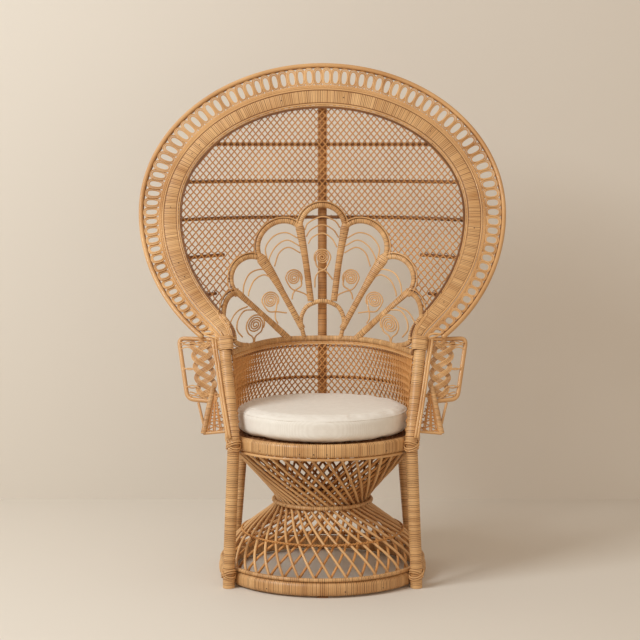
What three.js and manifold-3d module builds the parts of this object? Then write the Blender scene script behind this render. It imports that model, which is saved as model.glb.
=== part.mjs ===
// Peacock chair: an hourglass base of crossed rods, a barrel seat and a tall oval fan back.
// Lengths are in millimetres and angles in degrees. The front faces -Y and the floor is z = 0.
// While the pieces are made, the seat's axis stands at x = 0, y = 0.

import * as THREE from 'three';
import { mergeGeometries, mergeVertices } from 'three/addons/utils/BufferGeometryUtils.js';
import Module from 'manifold-3d';

const wasm = await Module();
wasm.setup();

// Fits: the gap between pieces that touch, and the depth by which a cut passes its plate
const fit = 0.3;
const overrun = 3;
const mergeReach = 0.0001;

// Base: a floor band, two thin rings, a waist and two layers of crossed rods
const seatRadius = 285;
const baseFlare = 19;
const baseRadius = seatRadius + baseFlare;
const baseBandWall = 32;
const baseBandHeight = 40;
const glideHeight = 4;
const glideLength = 30;
const glideWidth = 14;
const baseRingRod = 12;
const tieHeight = 135;
const tieRod = 8;
const tiePress = 1.3;
const waistHeight = 220;
const waistRadius = 152;
const waistRod = 15;
const innerHoopRod = 8;
const crossRods = 13;
const crossRod = 8;
const crossRodGap = 0.6;
const upperTwist = 43;
const middleTwist = 31;
const lowerTwist = 10;
const waistSharpnessShare = 0.105;
const ringInset = 3;
const bandCornerShare = 0.17;
const rodBiteShare = 0.33;

// Seat: a wrapped band round a woven deck, with a loose cushion
const seatTop = 429;
const seatBandHeight = 39;
const seatBandWall = 24;
const seatRingRod = 8;
const deckThickness = 14;
const cushionMargin = 29;
const cushionRadius = seatRadius - cushionMargin;
const cushionHeight = 75;
const cushionShift = 18;
const cushionCrown = 12;
const cushionSeam = 9;
const cushionPull = 5;
const crownShares = [0.7, 0.35];

// Posts and legs
const postWidth = 35;
const postAzimuth = 55.9;
const shoulderHeight = 702;
const shoulderX = 285;
const shoulderY = -50;
const knuckleWidth = 46;
const knuckleHeight = 38;
const knuckleShares = [0.33, 0.8];
const legWidth = 27;
const legFootAzimuth = 57;
const legSeatAzimuth = 51.5;
const legPress = 2;
const postClearance = 0.6;
const spineWidth = 29;
const spineRise = 712;
const spineTop = shoulderHeight + spineRise;
const spineLeanShare = 0.08;
const pipingRod = 9;
const pipingTurn = 65;
const pipingLapShare = 0.85;
const pipingSpreadShare = 0.33;
const pipingSteps = 5;
const bindingWall = 5;
const bindingHeight = 40;
const ankleHeight = 20;

// Fan: nested ovals in the front view, from the lattice's edge to the rim pole's middle,
// with their middles above the shoulders
const latticeOval = { side: 428, mid: 354, rise: 312, drop: 401, neck: 262 };
const bandStep = { side: 61, mid: -11, rise: 76, drop: 10, neck: 18 };
const laceStep = { side: 57, mid: 22, rise: 41, drop: 61, neck: -100 };
const neckSharpness = 12;
const fanRise = 798;
const fanHeight = shoulderHeight + fanRise;
const fanLean = 420;
const straightLeanShare = 0.3;
const dishSharpness = 3;
const bandThickness = 14;
const bandInnerShare = 0.15;
const bandOuterShare = 0.8;
const laceThickness = 6;
const laceEdge = 9;
const laceStrand = 9;
const laceCell = 90;
const laceRoundShare = 0.2;
const rimRod = 13;

// Woven sheets, with strands wider apart than on the real chair
const sheetThickness = 4;
const fanCell = { width: 94, height: 110 };
const barrelCell = { width: 98, height: 72 };
const strandWidth = 9;
const sheetBorder = 10;
const sheetGap = 1;

// Rods behind the lattice, by their heights above the shoulders
const railRod = 8.5;
const railGap = 3;
const fullRailRises = [553, 440, 330];
const brokenRailRises = [222, 118];

// Scalloped flower on the fan: places of its right half, by their heights above the shoulders
const scallopRod = 16;
const ribTopRises = [[69, 296], [185, 199], [255, 104]];
const ribMiddleRises = [[51, 192], [144, 136], [182, 36]];
const ribFootRises = [[36, 78], [62, -12], [104, -42]];
const ribHeadWidths = [20, 30, 24];
const ribFootWidths = [20, 20, 22];
const flowerDepth = 12;
const outerScallopFootRise = [223, -38];
const scallopBulges = [70, 66, 57, 46];
const scallopLeanShares = [0, 0, 0, -0.5];
const hubLegRises = [[56, -42], [67, 9], [59, 40], [41, 60]];
const hubTopRise = 73;
const hubRod = 14;

// Spiral coils and the rod ends that hold them
const coilRod = 4.5;
const coilTurns = 3;
const coilCentreRises = [[0, 206], [88, 143], [161, 76], [204, 14]];
const coilRadius = 26;
const coilEyeRadius = 3.4;
const coilTailRises = [[35, 120], [112, 90], [96, 34], [204, -42]];
const coilTailBendRises = [[8, 164], [98, 110], [148, 44], [232, -10]];

// Barrel: the woven wall between the seat and the fan
const barrelRailDrop = 42;
const barrelRailRod = 16;
const barrelMidShare = 0.485;
const footSharpness = 4;

// Wings: woven panels outside the front posts, by their reach from the posts
// and their height between the seat and the shoulders
const wingPole = 15;
const wingSweepShare = 0.3;
const thinPole = 8;
const wingReaches = { corner: 133, foot: 124, inner: 56.4 };
const wingHeightShares = { corner: 0.974, foot: 0.366, inner: 0.352 };
const braceReaches = { braceTop: 44.4, braceFoot: 85.5, braceEnd: 31 };
const braceHeightShares = { braceTop: 0.502, braceFoot: 0.034, braceEnd: 0.066 };
const thinPoleReaches = { thinTop: 93.8, thinFoot: 83.5 };
const thinPoleHeightShares = { thinTop: 0.315, thinFoot: 0.125 };
const wingWeave = 8;
const wingCell = { width: 52, height: 58 };

// Facets: sides of a round section and steps along or around
const bandSides = 8;
const scallopSteps = 8;
const ribSteps = 4;
const hubSteps = 10;
const railSteps = 10;
const barrelSteps = 18;
const coilSteps = 8;
const rodSides = 4;
const poleSides = 6;
const postSides = 10;
const hoopSteps = 32;
const ringSegments = 28;

// Finishes
const cane = new THREE.MeshStandardMaterial({ color: 0xd2a468, roughness: 0.55, metalness: 0 });
const caneDark = new THREE.MeshStandardMaterial({ color: 0x9a6a38, roughness: 0.6, metalness: 0 });
const linen = new THREE.MeshStandardMaterial({ color: 0xe9e3d8, roughness: 0.9, metalness: 0 });

const chair = new THREE.Group();

// Adds a named piece to the chair
function addPiece(name, geometry, material = cane) {
  const mesh = new THREE.Mesh(geometry, material);
  mesh.name = name;
  chair.add(mesh);
}

// Plain helpers for numbers and points
const rad = THREE.MathUtils.degToRad;
const mix = THREE.MathUtils.lerp;
const half = (size) => size / 2;
const sideNames = { '-1': 'left', 1: 'right' };

// Heights of the fan's places, from their rises above the shoulders
const raised = (rise) => shoulderHeight + rise;
const raisedPlace = ([x, rise]) => [x, raised(rise)];
const fullRailHeights = fullRailRises.map(raised);
const brokenRailHeights = brokenRailRises.map(raised);
const ribTops = ribTopRises.map(raisedPlace);
const ribMiddles = ribMiddleRises.map(raisedPlace);
const ribFeet = ribFootRises.map(raisedPlace);
const outerScallopFoot = raisedPlace(outerScallopFootRise);
const hubLegs = hubLegRises.map(raisedPlace);
const hubTop = raised(hubTopRise);
const coilCentres = coilCentreRises.map(raisedPlace);
const coilTails = coilTailRises.map(raisedPlace);
const coilTailBends = coilTailBendRises.map(raisedPlace);
const barrelRailHeight = shoulderHeight - barrelRailDrop;
const barrelMidHeight = mix(seatTop, barrelRailHeight, barrelMidShare);

// A copy with merged corners and its faces pointing out
function facingOut(geometry) {
  const bare = geometry.clone();
  for (const name of Object.keys(bare.attributes)) {
    if (name !== 'position') bare.deleteAttribute(name);
  }
  const merged = mergeVertices(bare, mergeReach);
  const index = merged.index.array;
  const corners = [0, 1, 2].map(() => new THREE.Vector3());
  const kept = [];
  let volume = 0;
  for (let face = 0; face < index.length; face += corners.length) {
    const [a, b, c] = index.subarray(face, face + corners.length);
    if (a === b || b === c || c === a) continue;
    kept.push(a, b, c);
    [a, b, c].forEach((vertex, k) => corners[k].fromBufferAttribute(merged.attributes.position, vertex));
    volume += corners[0].dot(corners[1].cross(corners[2]));
  }
  if (volume < 0) kept.reverse();
  merged.setIndex(kept);
  merged.computeVertexNormals();
  return merged;
}

// Boolean cuts between closed meshes
function toSolid(geometry) {
  const merged = facingOut(geometry);
  const mesh = new wasm.Mesh({
    numProp: 3,
    vertProperties: new Float32Array(merged.attributes.position.array),
    triVerts: new Uint32Array(merged.index.array),
  });
  return new wasm.Manifold(mesh);
}

function toGeometry(solid) {
  const mesh = solid.getMesh();
  const geometry = new THREE.BufferGeometry();
  const places = new THREE.BufferAttribute(new Float32Array(mesh.vertProperties), mesh.numProp);
  geometry.setAttribute('position', places);
  geometry.setIndex(new THREE.BufferAttribute(new Uint32Array(mesh.triVerts), 1));
  return facingOut(geometry);
}

// Trims a piece by its neighbours and drops the offcuts beyond them
function carve(geometry, cutters) {
  let solid = toSolid(geometry);
  for (const cutter of cutters) solid = solid.subtract(toSolid(cutter));
  const bodies = solid.decompose().sort((a, b) => b.volume() - a.volume());
  return toGeometry(bodies[0]);
}

function join(geometries) {
  let solid = toSolid(geometries[0]);
  for (const geometry of geometries.slice(1)) solid = solid.add(toSolid(geometry));
  return toGeometry(solid);
}

// Moves each corner of a geometry by a function of its place
function reshape(geometry, move) {
  const position = geometry.attributes.position;
  const corner = new THREE.Vector3();
  for (let i = 0; i < position.count; i += 1) {
    corner.fromBufferAttribute(position, i);
    const moved = move(corner.x, corner.y, corner.z);
    position.setXYZ(i, moved.x, moved.y, moved.z);
  }
  return facingOut(geometry);
}

const facingUp = () => new THREE.Vector3(0, 0, 1);

// A bar along a row of points; its width lies across the given facing, its depth along it
function bar(points, widths, depths, sides, facing = () => new THREE.Vector3(0, -1, 0)) {
  const last = points.length - 1;
  const frames = points.map((point, i) => {
    const along = new THREE.Vector3().subVectors(points[Math.min(i + 1, last)], points[Math.max(i - 1, 0)]);
    along.normalize();
    const across = new THREE.Vector3().crossVectors(along, facing(point)).normalize();
    return { point, across, deep: new THREE.Vector3().crossVectors(across, along) };
  });
  const sizeAt = (sizes, i) => half(Array.isArray(sizes) ? sizes[i] : sizes);
  const stock = new THREE.CylinderGeometry(1, 1, 1, sides, last);
  const widest = new THREE.Box3().setFromBufferAttribute(stock.attributes.position).max.x;
  return reshape(stock, (x, y, z) => {
    const i = Math.round((half(1) - y) * last);
    const { point, across, deep } = frames[i];
    const [wide, thick] = [(x / widest) * sizeAt(widths, i), z * sizeAt(depths, i)];
    return point.clone().addScaledVector(across, wide).addScaledVector(deep, thick);
  });
}

const extruded = (shape, depth) => new THREE.ExtrudeGeometry(shape, { depth, bevelEnabled: false });

// A ring about the seat's axis from a closed outline of radius and height
function ring(outline, segments = ringSegments) {
  const profile = [...outline, outline[0]].map(([radius, height]) => new THREE.Vector2(radius, height));
  return facingOut(new THREE.LatheGeometry(profile, segments).rotateX(Math.PI / 2));
}

function roundRing(radius, height, diameter, sides = poleSides) {
  const outline = Array.from({ length: sides }, (_, k) => {
    const angle = (k / sides) * Math.PI * 2;
    return [radius + half(diameter) * Math.cos(angle), height + half(diameter) * Math.sin(angle)];
  });
  return ring(outline);
}

// A wrapped band: a tall section with rounded outer corners
function wrappedBand(outerRadius, wall, bottom, height) {
  const corner = wall * bandCornerShare;
  return ring([
    [outerRadius - wall, bottom],
    [outerRadius - corner, bottom],
    [outerRadius, bottom + corner],
    [outerRadius, bottom + height - corner],
    [outerRadius - corner, bottom + height],
    [outerRadius - wall, bottom + height],
  ]);
}

// The flats of a faceted ring lie inside its corners by this share of its radius
const facetShare = Math.cos(Math.PI / ringSegments);

// Places shared by the base and the seat
const baseTop = glideHeight + baseBandHeight;
const seatBottom = seatTop - seatBandHeight;
const crossSpacing = crossRod + crossRodGap;

// Radius of the outer crossed rods: narrowest at the waist, where the waist ring holds them
const baseRingRadius = baseRadius - half(baseRingRod) - ringInset;
const seatRingRadius = seatRadius - half(seatRingRod) - ringInset;
const rodWaistRadius = (waistRadius - waistRod) * facetShare - half(crossRod) - fit;
const rodBaseRadius = baseRingRadius - half(baseRingRod) - crossRod * rodBiteShare;
const rodSeatRadius = seatRingRadius - half(seatRingRod) - crossRod * rodBiteShare;
const rodBottom = baseTop + half(crossRod);
const rodTop = seatBottom - half(crossRod);

function smoothShare(share) {
  const k = waistSharpnessShare;
  return (Math.hypot(k, share) - k) / (Math.hypot(k, 1) - k);
}

function crossRadius(height) {
  if (height >= waistHeight) {
    const share = smoothShare((height - waistHeight) / (rodTop - waistHeight));
    return mix(rodWaistRadius, rodSeatRadius, share);
  }
  const share = smoothShare((waistHeight - height) / (waistHeight - rodBottom));
  return mix(rodWaistRadius, rodBaseRadius, Math.sin(share * Math.PI / 2));
}

function crossSlope(height) {
  return (crossRadius(height + fit) - crossRadius(height - fit)) / (fit + fit);
}

function crossAzimuth(height) {
  if (height >= waistHeight) {
    return -upperTwist * (height - waistHeight) / (rodTop - waistHeight);
  }
  if (height >= tieHeight) {
    return middleTwist * (waistHeight - height) / (waistHeight - tieHeight);
  }
  return middleTwist + lowerTwist * (tieHeight - height) / (tieHeight - rodBottom);
}

// One layer of crossed rods; the inner layer lies one rod further in and leans the other way
function crossedRods(inward, lean) {
  const heights = [
    rodTop,
    mix(waistHeight, rodTop, half(1)),
    waistHeight + waistRod,
    waistHeight,
    waistHeight - waistRod,
    mix(waistHeight, tieHeight, half(1)),
    tieHeight,
    rodBottom,
  ];
  const profile = heights.map((height) => {
    const slope = crossSlope(height);
    const length = Math.hypot(1, slope);
    const isEnd = height === rodTop || height === rodBottom;
    return {
      radius: crossRadius(height) - (isEnd ? inward * length : inward / length),
      height: isEnd ? height : height + inward * slope / length,
      turn: height,
    };
  });
  const rods = Array.from({ length: crossRods }, (_, k) => {
    const start = (k / crossRods) * Math.PI * 2;
    const points = profile.map(({ radius, height, turn }) => {
      const angle = start + lean * rad(crossAzimuth(turn));
      return new THREE.Vector3(radius * Math.sin(angle), -radius * Math.cos(angle), height);
    });
    const outwards = (point) => new THREE.Vector3(point.x, point.y, 0).normalize();
    return bar(points, crossRod, crossRod, rodSides, outwards);
  });
  return mergeGeometries(rods);
}

function makeBase() {
  addPiece('base_band', wrappedBand(baseRadius, baseBandWall, glideHeight, baseBandHeight));
  for (const [name, side] of [['front_glide', -1], ['rear_glide', 1]]) {
    const glide = new THREE.BoxGeometry(glideLength, glideWidth, glideHeight - fit);
    glide.translate(0, side * (baseRadius - half(baseBandWall)), half(glideHeight - fit));
    addPiece(name, facingOut(glide), caneDark);
  }
  const baseRing = roundRing(baseRingRadius, baseTop + half(baseRingRod) + fit, baseRingRod);
  const seatRing = roundRing(seatRingRadius, seatBottom - half(seatRingRod) - fit, seatRingRod, rodSides);
  addPiece('outer_cage', join([crossedRods(0, 1), baseRing, seatRing]));
  const innerHoopRadius = rodWaistRadius - crossSpacing - crossRod * rodBiteShare - half(innerHoopRod);
  const innerHoop = roundRing(innerHoopRadius, waistHeight, innerHoopRod, rodSides);
  addPiece('inner_cage', join([crossedRods(crossSpacing, -1), innerHoop]));
  const tieReach = (half(crossRod) + fit) * Math.hypot(1, crossSlope(tieHeight)) + half(tieRod);
  const tieRadius = (crossRadius(tieHeight) + tieReach) / facetShare - tiePress;
  addPiece('tie_hoop', roundRing(tieRadius, tieHeight, tieRod, rodSides));
  addPiece('waist_ring', roundRing(waistRadius - half(waistRod), waistHeight, waistRod));
}

// The cushion is a boxed round pad: its top swells, and its side draws in below the seam
function makeSeat() {
  addPiece('seat_band', wrappedBand(seatRadius, seatBandWall, seatBottom, seatBandHeight));
  const deckRadius = seatRadius - seatBandWall - fit;
  const deck = new THREE.CylinderGeometry(deckRadius, deckRadius, deckThickness, ringSegments);
  deck.rotateX(Math.PI / 2).translate(0, 0, seatTop - half(deckThickness));
  addPiece('seat_deck', facingOut(deck), caneDark);

  const bottom = seatTop + fit;
  const seamHeight = bottom + cushionHeight - cushionCrown;
  const profile = [
    [0, bottom],
    [cushionRadius - cushionSeam - cushionSeam, bottom],
    [cushionRadius - cushionPull, bottom + cushionSeam],
    [cushionRadius - cushionPull, half(bottom + seamHeight)],
    [cushionRadius, seamHeight - cushionSeam],
    [cushionRadius - cushionPull, seamHeight],
    [cushionRadius - cushionSeam - cushionSeam, seamHeight + cushionPull],
    [cushionRadius * crownShares[0], bottom + cushionHeight - half(cushionPull)],
    [cushionRadius * crownShares[1], bottom + cushionHeight],
    [0, bottom + cushionHeight],
  ].map(([radius, height]) => new THREE.Vector2(radius, height));
  const cushion = new THREE.LatheGeometry(profile, ringSegments).rotateX(Math.PI / 2);
  addPiece('cushion', facingOut(cushion.translate(0, -cushionShift, 0)), linen);
}

// What stands outside the base and seat bands touches the floor band and then leans in to the seat
function standRadius(height, width) {
  const share = THREE.MathUtils.clamp((height - baseTop) / (seatTop - baseTop), 0, 1);
  return mix(baseRadius, seatRadius, share) + half(width) + postClearance;
}

// Front posts lean back above the seat, up to the shoulders
function postPoint(side, height) {
  const angle = rad(postAzimuth);
  const radius = standRadius(height, postWidth);
  if (height <= seatTop) {
    return new THREE.Vector3(side * radius * Math.sin(angle), -radius * Math.cos(angle), height);
  }
  const share = (height - seatTop) / (shoulderHeight - seatTop);
  const x = mix(radius * Math.sin(angle), shoulderX, share);
  return new THREE.Vector3(side * x, mix(-radius * Math.cos(angle), shoulderY, share), height);
}

// An upright pole with level rings, whose middle follows a function of the height
function uprightPole(heights, widths, depths, middle) {
  const last = heights.length - 1;
  const stock = new THREE.CylinderGeometry(1, 1, 1, postSides, last).rotateX(Math.PI / 2);
  return reshape(stock, (x, y, z) => {
    const i = Math.round((half(1) + z) * last);
    const centre = middle(heights[i]);
    return new THREE.Vector3(centre.x + x * half(widths[i]), centre.y + y * half(depths[i]), heights[i]);
  });
}

// The post swells into a rounded knuckle where the fan's band lands on it
function frontPost(side, grow = 0) {
  const knuckleFoot = shoulderHeight - knuckleHeight;
  const necking = mix(postWidth, knuckleWidth, half(1));
  const rings = [
    [0, postWidth],
    [baseTop, postWidth],
    [seatBottom, postWidth],
    [seatTop, postWidth],
    [knuckleFoot - half(knuckleHeight), postWidth],
    [knuckleFoot, necking],
    [knuckleFoot + knuckleHeight * knuckleShares[0], knuckleWidth],
    [knuckleFoot + knuckleHeight * knuckleShares[1], knuckleWidth],
    [shoulderHeight + grow, necking],
  ];
  const heights = rings.map(([height]) => height);
  const widths = rings.map(([, width]) => width + grow + grow);
  const depths = rings.map(() => postWidth + grow + grow);
  return uprightPole(heights, widths, depths, (height) => postPoint(side, height));
}

function legPoint(side, height) {
  const radius = standRadius(height, legWidth) - legPress;
  const angle = rad(mix(legFootAzimuth, legSeatAzimuth, height / seatTop));
  return new THREE.Vector3(side * radius * Math.sin(angle), radius * Math.cos(angle), height);
}

function rearLeg(side) {
  const heights = [0, baseTop, half(seatTop), seatTop];
  const widths = heights.map(() => legWidth);
  return carve(uprightPole(heights, widths, widths, (height) => legPoint(side, height)), grownBands());
}

// The spine pole stands behind the seat band and leans back with the fan
const spineFootY = seatRadius + half(spineWidth) + postClearance;

function spineY(height) {
  return spineFootY + spineLeanShare * (height - seatBottom);
}

function spinePole() {
  const heights = [seatBottom, mix(seatBottom, spineTop, half(1)), spineTop];
  const widths = heights.map(() => spineWidth);
  return uprightPole(heights, widths, widths, (height) => new THREE.Vector3(0, spineY(height), height));
}

// Two thin rods run down each post's outer side and swing to its front above the seat
function postPiping(side, grow = 0) {
  const bottom = seatTop + overrun;
  const top = shoulderHeight - pipingRod;
  const spacing = pipingRod * pipingLapShare;
  const rows = [
    { near: half(knuckleWidth), far: half(postWidth), turn: pipingTurn },
    {
      near: half(knuckleWidth) + spacing,
      far: half(postWidth) + spacing * pipingSpreadShare,
      turn: pipingTurn * pipingLapShare * pipingLapShare,
    },
  ];
  const rods = rows.map(({ near, far, turn }) => {
    const points = Array.from({ length: pipingSteps + 1 }, (_, i) => {
      const share = i / pipingSteps;
      const point = postPoint(side, mix(top, bottom, share));
      const reach = mix(near, far, share) + half(pipingRod) + fit;
      const angle = rad(turn * share);
      point.x += side * reach * Math.cos(angle);
      point.y -= reach * Math.sin(angle);
      return point;
    });
    return bar(points, pipingRod + grow + grow, pipingRod + grow + grow, poleSides);
  });
  return join(rods);
}

// The bands and the base ring, grown by a fit, to trim what stands against them
function grownBands() {
  const grown = (outerRadius, wall, bottom, height) => {
    return wrappedBand(outerRadius + fit, wall + fit + fit, bottom - fit, height + fit + fit);
  };
  return [
    grown(seatRadius, seatBandWall, seatBottom, seatBandHeight),
    grown(baseRadius, baseBandWall, glideHeight, baseBandHeight),
    roundRing(baseRingRadius, baseTop + half(baseRingRod) + fit, baseRingRod + fit + fit),
  ];
}

// Lashings fill the corner between each post and the bands it stands against
function postBindings(side) {
  const cutters = [frontPost(side, fit), ...grownBands()];
  return [seatTop - bindingHeight - fit, ankleHeight].map((bottom) => {
    const heights = [bottom, bottom + bindingHeight];
    const widths = heights.map(() => postWidth + bindingWall + bindingWall);
    return carve(uprightPole(heights, widths, widths, (height) => postPoint(side, height)), cutters);
  });
}

function makePosts() {
  for (const side of [-1, 1]) {
    addPiece(`front_post_${sideNames[side]}`, frontPost(side));
    addPiece(`post_piping_${sideNames[side]}`, postPiping(side));
    const [seatBinding, ankleBinding] = postBindings(side);
    addPiece(`seat_binding_${sideNames[side]}`, seatBinding);
    addPiece(`ankle_binding_${sideNames[side]}`, ankleBinding);
    addPiece(`rear_leg_${sideNames[side]}`, rearLeg(side));
  }
  addPiece('spine_pole', spinePole(), caneDark);
}

// The hoop, its band and the lace border lie on one surface that leans back with height
function hoopY(height) {
  if (height < shoulderHeight) return postPoint(1, height).y;
  const share = (height - shoulderHeight) / (fanHeight - shoulderHeight);
  const bend = 1 - (1 - share) ** 2;
  return shoulderY + fanLean * (straightLeanShare * share + (1 - straightLeanShare) * bend);
}

// An oval between the lattice's edge (0), the band's outer edge (1) and the rim's middle (2)
function ovalAt(share) {
  const inner = Math.min(share, 1);
  const outer = Math.max(share - 1, 0);
  const sizeOf = (key) => latticeOval[key] + inner * bandStep[key] + outer * laceStep[key];
  const oval = Object.fromEntries(Object.keys(latticeOval).map((key) => [key, sizeOf(key)]));
  return { ...oval, mid: raised(oval.mid) };
}

// Below its middle an oval keeps at least the neck's half width
function ovalHalfWidth(oval, height) {
  const reach = height > oval.mid ? oval.rise : oval.drop;
  const share = Math.min(Math.abs(height - oval.mid) / reach, 1);
  const free = oval.side * Math.sqrt(1 - share * share);
  if (height > oval.mid) return free;
  const neck = Math.max(oval.neck, 0);
  return (free ** neckSharpness + neck ** neckSharpness) ** (1 / neckSharpness);
}

// A point on an oval, from its end at the right shoulder (0) over the top to the left one (1)
function ovalPoint(share, along) {
  const oval = ovalAt(share);
  const endAngle = Math.asin((oval.mid - shoulderHeight) / oval.drop);
  const angle = mix(-endAngle, Math.PI + endAngle, along);
  const height = oval.mid + Math.sin(angle) * (Math.sin(angle) > 0 ? oval.rise : oval.drop);
  const width = ovalHalfWidth(oval, height);
  return { x: Math.cos(angle) > 0 ? width : -width, z: height };
}

// A point at a distance outside an oval, square to its line
function besideOval(share, along, distance) {
  const before = ovalPoint(share, Math.max(along - half(1) / hoopSteps, 0));
  const after = ovalPoint(share, Math.min(along + half(1) / hoopSteps, 1));
  const [right, up] = [after.x - before.x, after.z - before.z];
  const { x, z } = ovalPoint(share, along);
  const move = distance / Math.hypot(right, up);
  return { x: x + up * move, z: z - right * move };
}

// The lattice is a dish: flush with the hoop at its edge, back against the spine at its middle
const sheetStandoff = half(spineWidth) + fit + railRod + railGap + half(sheetThickness);

function dishY(x, z) {
  const edge = hoopY(z);
  const depth = Math.max(spineY(z) - sheetStandoff - edge, 0);
  const width = Math.max(ovalHalfWidth(ovalAt(0), z), fit);
  const share = Math.min(Math.abs(x) / width, 1);
  return edge + depth * (1 - share ** dishSharpness);
}

const onHoop = (x, z) => new THREE.Vector3(x, hoopY(z), z);
const onDish = (x, z) => new THREE.Vector3(x, dishY(x, z), z);

// The way a surface faces at a point, towards the front
function facingOf(surface, x, z) {
  const right = new THREE.Vector3().subVectors(surface(x + 1, z), surface(x - 1, z));
  const up = new THREE.Vector3().subVectors(surface(x, z + 1), surface(x, z - 1));
  return right.cross(up).normalize();
}

function offSurface(surface, x, z, distance) {
  return surface(x, z).addScaledVector(facingOf(surface, x, z), distance);
}

// The wrapped band follows the ovals with a flattened eight-sided section
function bandPoint(across, along, deep) {
  const share = mix(bandInnerShare, bandOuterShare, half(across + 1));
  const { x, z } = ovalPoint(share, along);
  return offSurface(onHoop, x, z, deep * half(bandThickness));
}

function hoopBand(grow = 0) {
  const stock = new THREE.CylinderGeometry(1, 1, 1, bandSides, hoopSteps);
  stock.rotateY(Math.PI / bandSides);
  const cornerReach = 1 / Math.cos(Math.PI / bandSides);
  const wide = cornerReach * (1 + grow / half(bandStep.side * (bandOuterShare - bandInnerShare)));
  const deep = cornerReach * (1 + grow / half(bandThickness));
  return reshape(stock, (x, y, z) => bandPoint(x * wide, half(1) - y, z * deep));
}

function rimPole() {
  const points = Array.from({ length: hoopSteps + 1 }, (_, i) => {
    const { x, z } = ovalPoint(2, i / hoopSteps);
    return onHoop(x, z);
  });
  return bar(points, rimRod, rimRod, poleSides);
}

// A flat sheet, made in its own plane and then laid on a surface by the place function
function laySheet(geometry, thickness, place) {
  return reshape(geometry, (x, y, z) => place(x, y, z - half(thickness)));
}

// One flat cell of the lace, a unit square round a rounded opening
function laceCellPlate() {
  const cell = new THREE.Shape([[0, 0], [1, 0], [1, 1], [0, 1]].map(([x, y]) => new THREE.Vector2(x, y)));
  const [low, left] = [laceEdge / laceStep.side, half(laceStrand) / laceCell];
  const [high, right] = [1 - low, 1 - left];
  const [inLow, inHigh] = [mix(low, high, laceRoundShare), mix(high, low, laceRoundShare)];
  const middle = half(1);
  const rightSide = [[middle, low], [right, inLow], [right, inHigh]];
  const leftSide = [[middle, high], [left, inHigh], [left, inLow]];
  const opening = [...rightSide, ...leftSide].map(([x, y]) => new THREE.Vector2(x, y));
  cell.holes.push(new THREE.Path().setFromPoints(opening));
  return extruded(cell, laceThickness);
}

// A row of unit cells side by side, without the walls where they meet
function cellRow(makeCell, count) {
  const row = mergeGeometries(Array.from({ length: count }, (_, i) => makeCell().translate(i, 0, 0)));
  const kept = [];
  for (let face = 0; face < row.attributes.position.count; face += 3) {
    const corners = [face, face + 1, face + 2];
    const [a, b, c] = corners.map((corner) => row.attributes.position.getX(corner));
    const isWall = a === b && b === c && Number.isInteger(a);
    if (!isWall || a === 0 || a === count) kept.push(...corners);
  }
  row.setIndex(kept);
  return row;
}

// The lace fills the space between the band and the rim with one row of cells
function laceBorder() {
  return laySheet(cellRow(laceCellPlate, hoopSteps), laceThickness, (x, y, z) => {
    const low = besideOval(bandOuterShare, x / hoopSteps, fit + fit);
    const high = besideOval(2, x / hoopSteps, -half(rimRod) - fit - fit);
    return offSurface(onHoop, mix(low.x, high.x, y), mix(low.z, high.z, y), z);
  });
}

// A plate with a diamond grid cut out inside its border, still flat
function diamondGrid(outline, opening, cell, extent, thickness) {
  const cells = [];
  const columns = Math.ceil(extent.width / cell.width) + 1;
  const rows = Math.ceil(extent.height / cell.height) + 1;
  const reachX = half(cell.width) - half(strandWidth) * Math.hypot(1, cell.width / cell.height);
  const reachY = reachX * cell.height / cell.width;
  for (let row = -rows; row <= rows; row += 1) {
    for (let column = -columns; column <= columns; column += 1) {
      const shift = Math.abs(row) % 2 ? half(cell.width) : 0;
      const [x, y] = [column * cell.width + shift, row * half(cell.height)];
      if (Math.abs(x) > half(extent.width) || Math.abs(y) > half(extent.height)) continue;
      const diamond = new THREE.Shape([[x + reachX, y], [x, y + reachY], [x - reachX, y], [x, y - reachY]]
        .map(([a, b]) => new THREE.Vector2(a, b)));
      cells.push(throughCut(diamond, thickness));
    }
  }
  const gaps = toSolid(mergeGeometries(cells).translate(extent.x, extent.z, 0));
  return toGeometry(outline.subtract(gaps.intersect(opening)));
}

function throughCut(shape, thickness) {
  return extruded(shape, thickness + overrun + overrun).translate(0, 0, -overrun);
}

// The scallops' middle lines: leaning half ellipses between the tops of neighbouring ribs
function scallopPoints(order, outward = 0) {
  const from = order === 0 ? [-ribTops[0][0], ribTops[0][1]] : ribTops[order - 1];
  const to = order === ribTops.length ? outerScallopFoot : ribTops[order];
  const reach = half(Math.hypot(to[0] - from[0], to[1] - from[1]));
  const along = [half(to[0] - from[0]) / reach, half(to[1] - from[1]) / reach];
  const out = [-along[1], along[0]];
  const middle = [half(to[0] + from[0]), half(to[1] + from[1])];
  const limit = half(scallopRod) + fit - outward;
  return Array.from({ length: scallopSteps + 1 }, (_, i) => {
    const angle = Math.PI * (1 - i / scallopSteps);
    const high = (scallopBulges[order] + outward) * Math.sin(angle);
    const wide = (reach + outward) * Math.cos(angle) + scallopLeanShares[order] * high;
    const x = middle[0] + along[0] * wide + out[0] * high;
    const z = middle[1] + along[1] * wide + out[1] * high;
    const edge = ovalHalfWidth(ovalAt(bandInnerShare), z);
    return { x: Math.min(x, edge - limit), z };
  });
}

function mirrored(points, side) {
  return points.map(({ x, z }) => ({ x: side * x, z }));
}

// The flower's rods stand forward, so that their backs are level with the lattice's back
function onFan(points) {
  return points.map(({ x, z }) => offSurface(onDish, x, z, half(flowerDepth) - half(sheetThickness)));
}

const facingFront = (point) => facingOf(onDish, point.x, point.z);

function scallop(order, side, grow = 0) {
  const points = onFan(mirrored(scallopPoints(order), side));
  return bar(points, scallopRod + grow + grow, flowerDepth + grow + grow, poleSides, facingFront);
}

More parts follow.
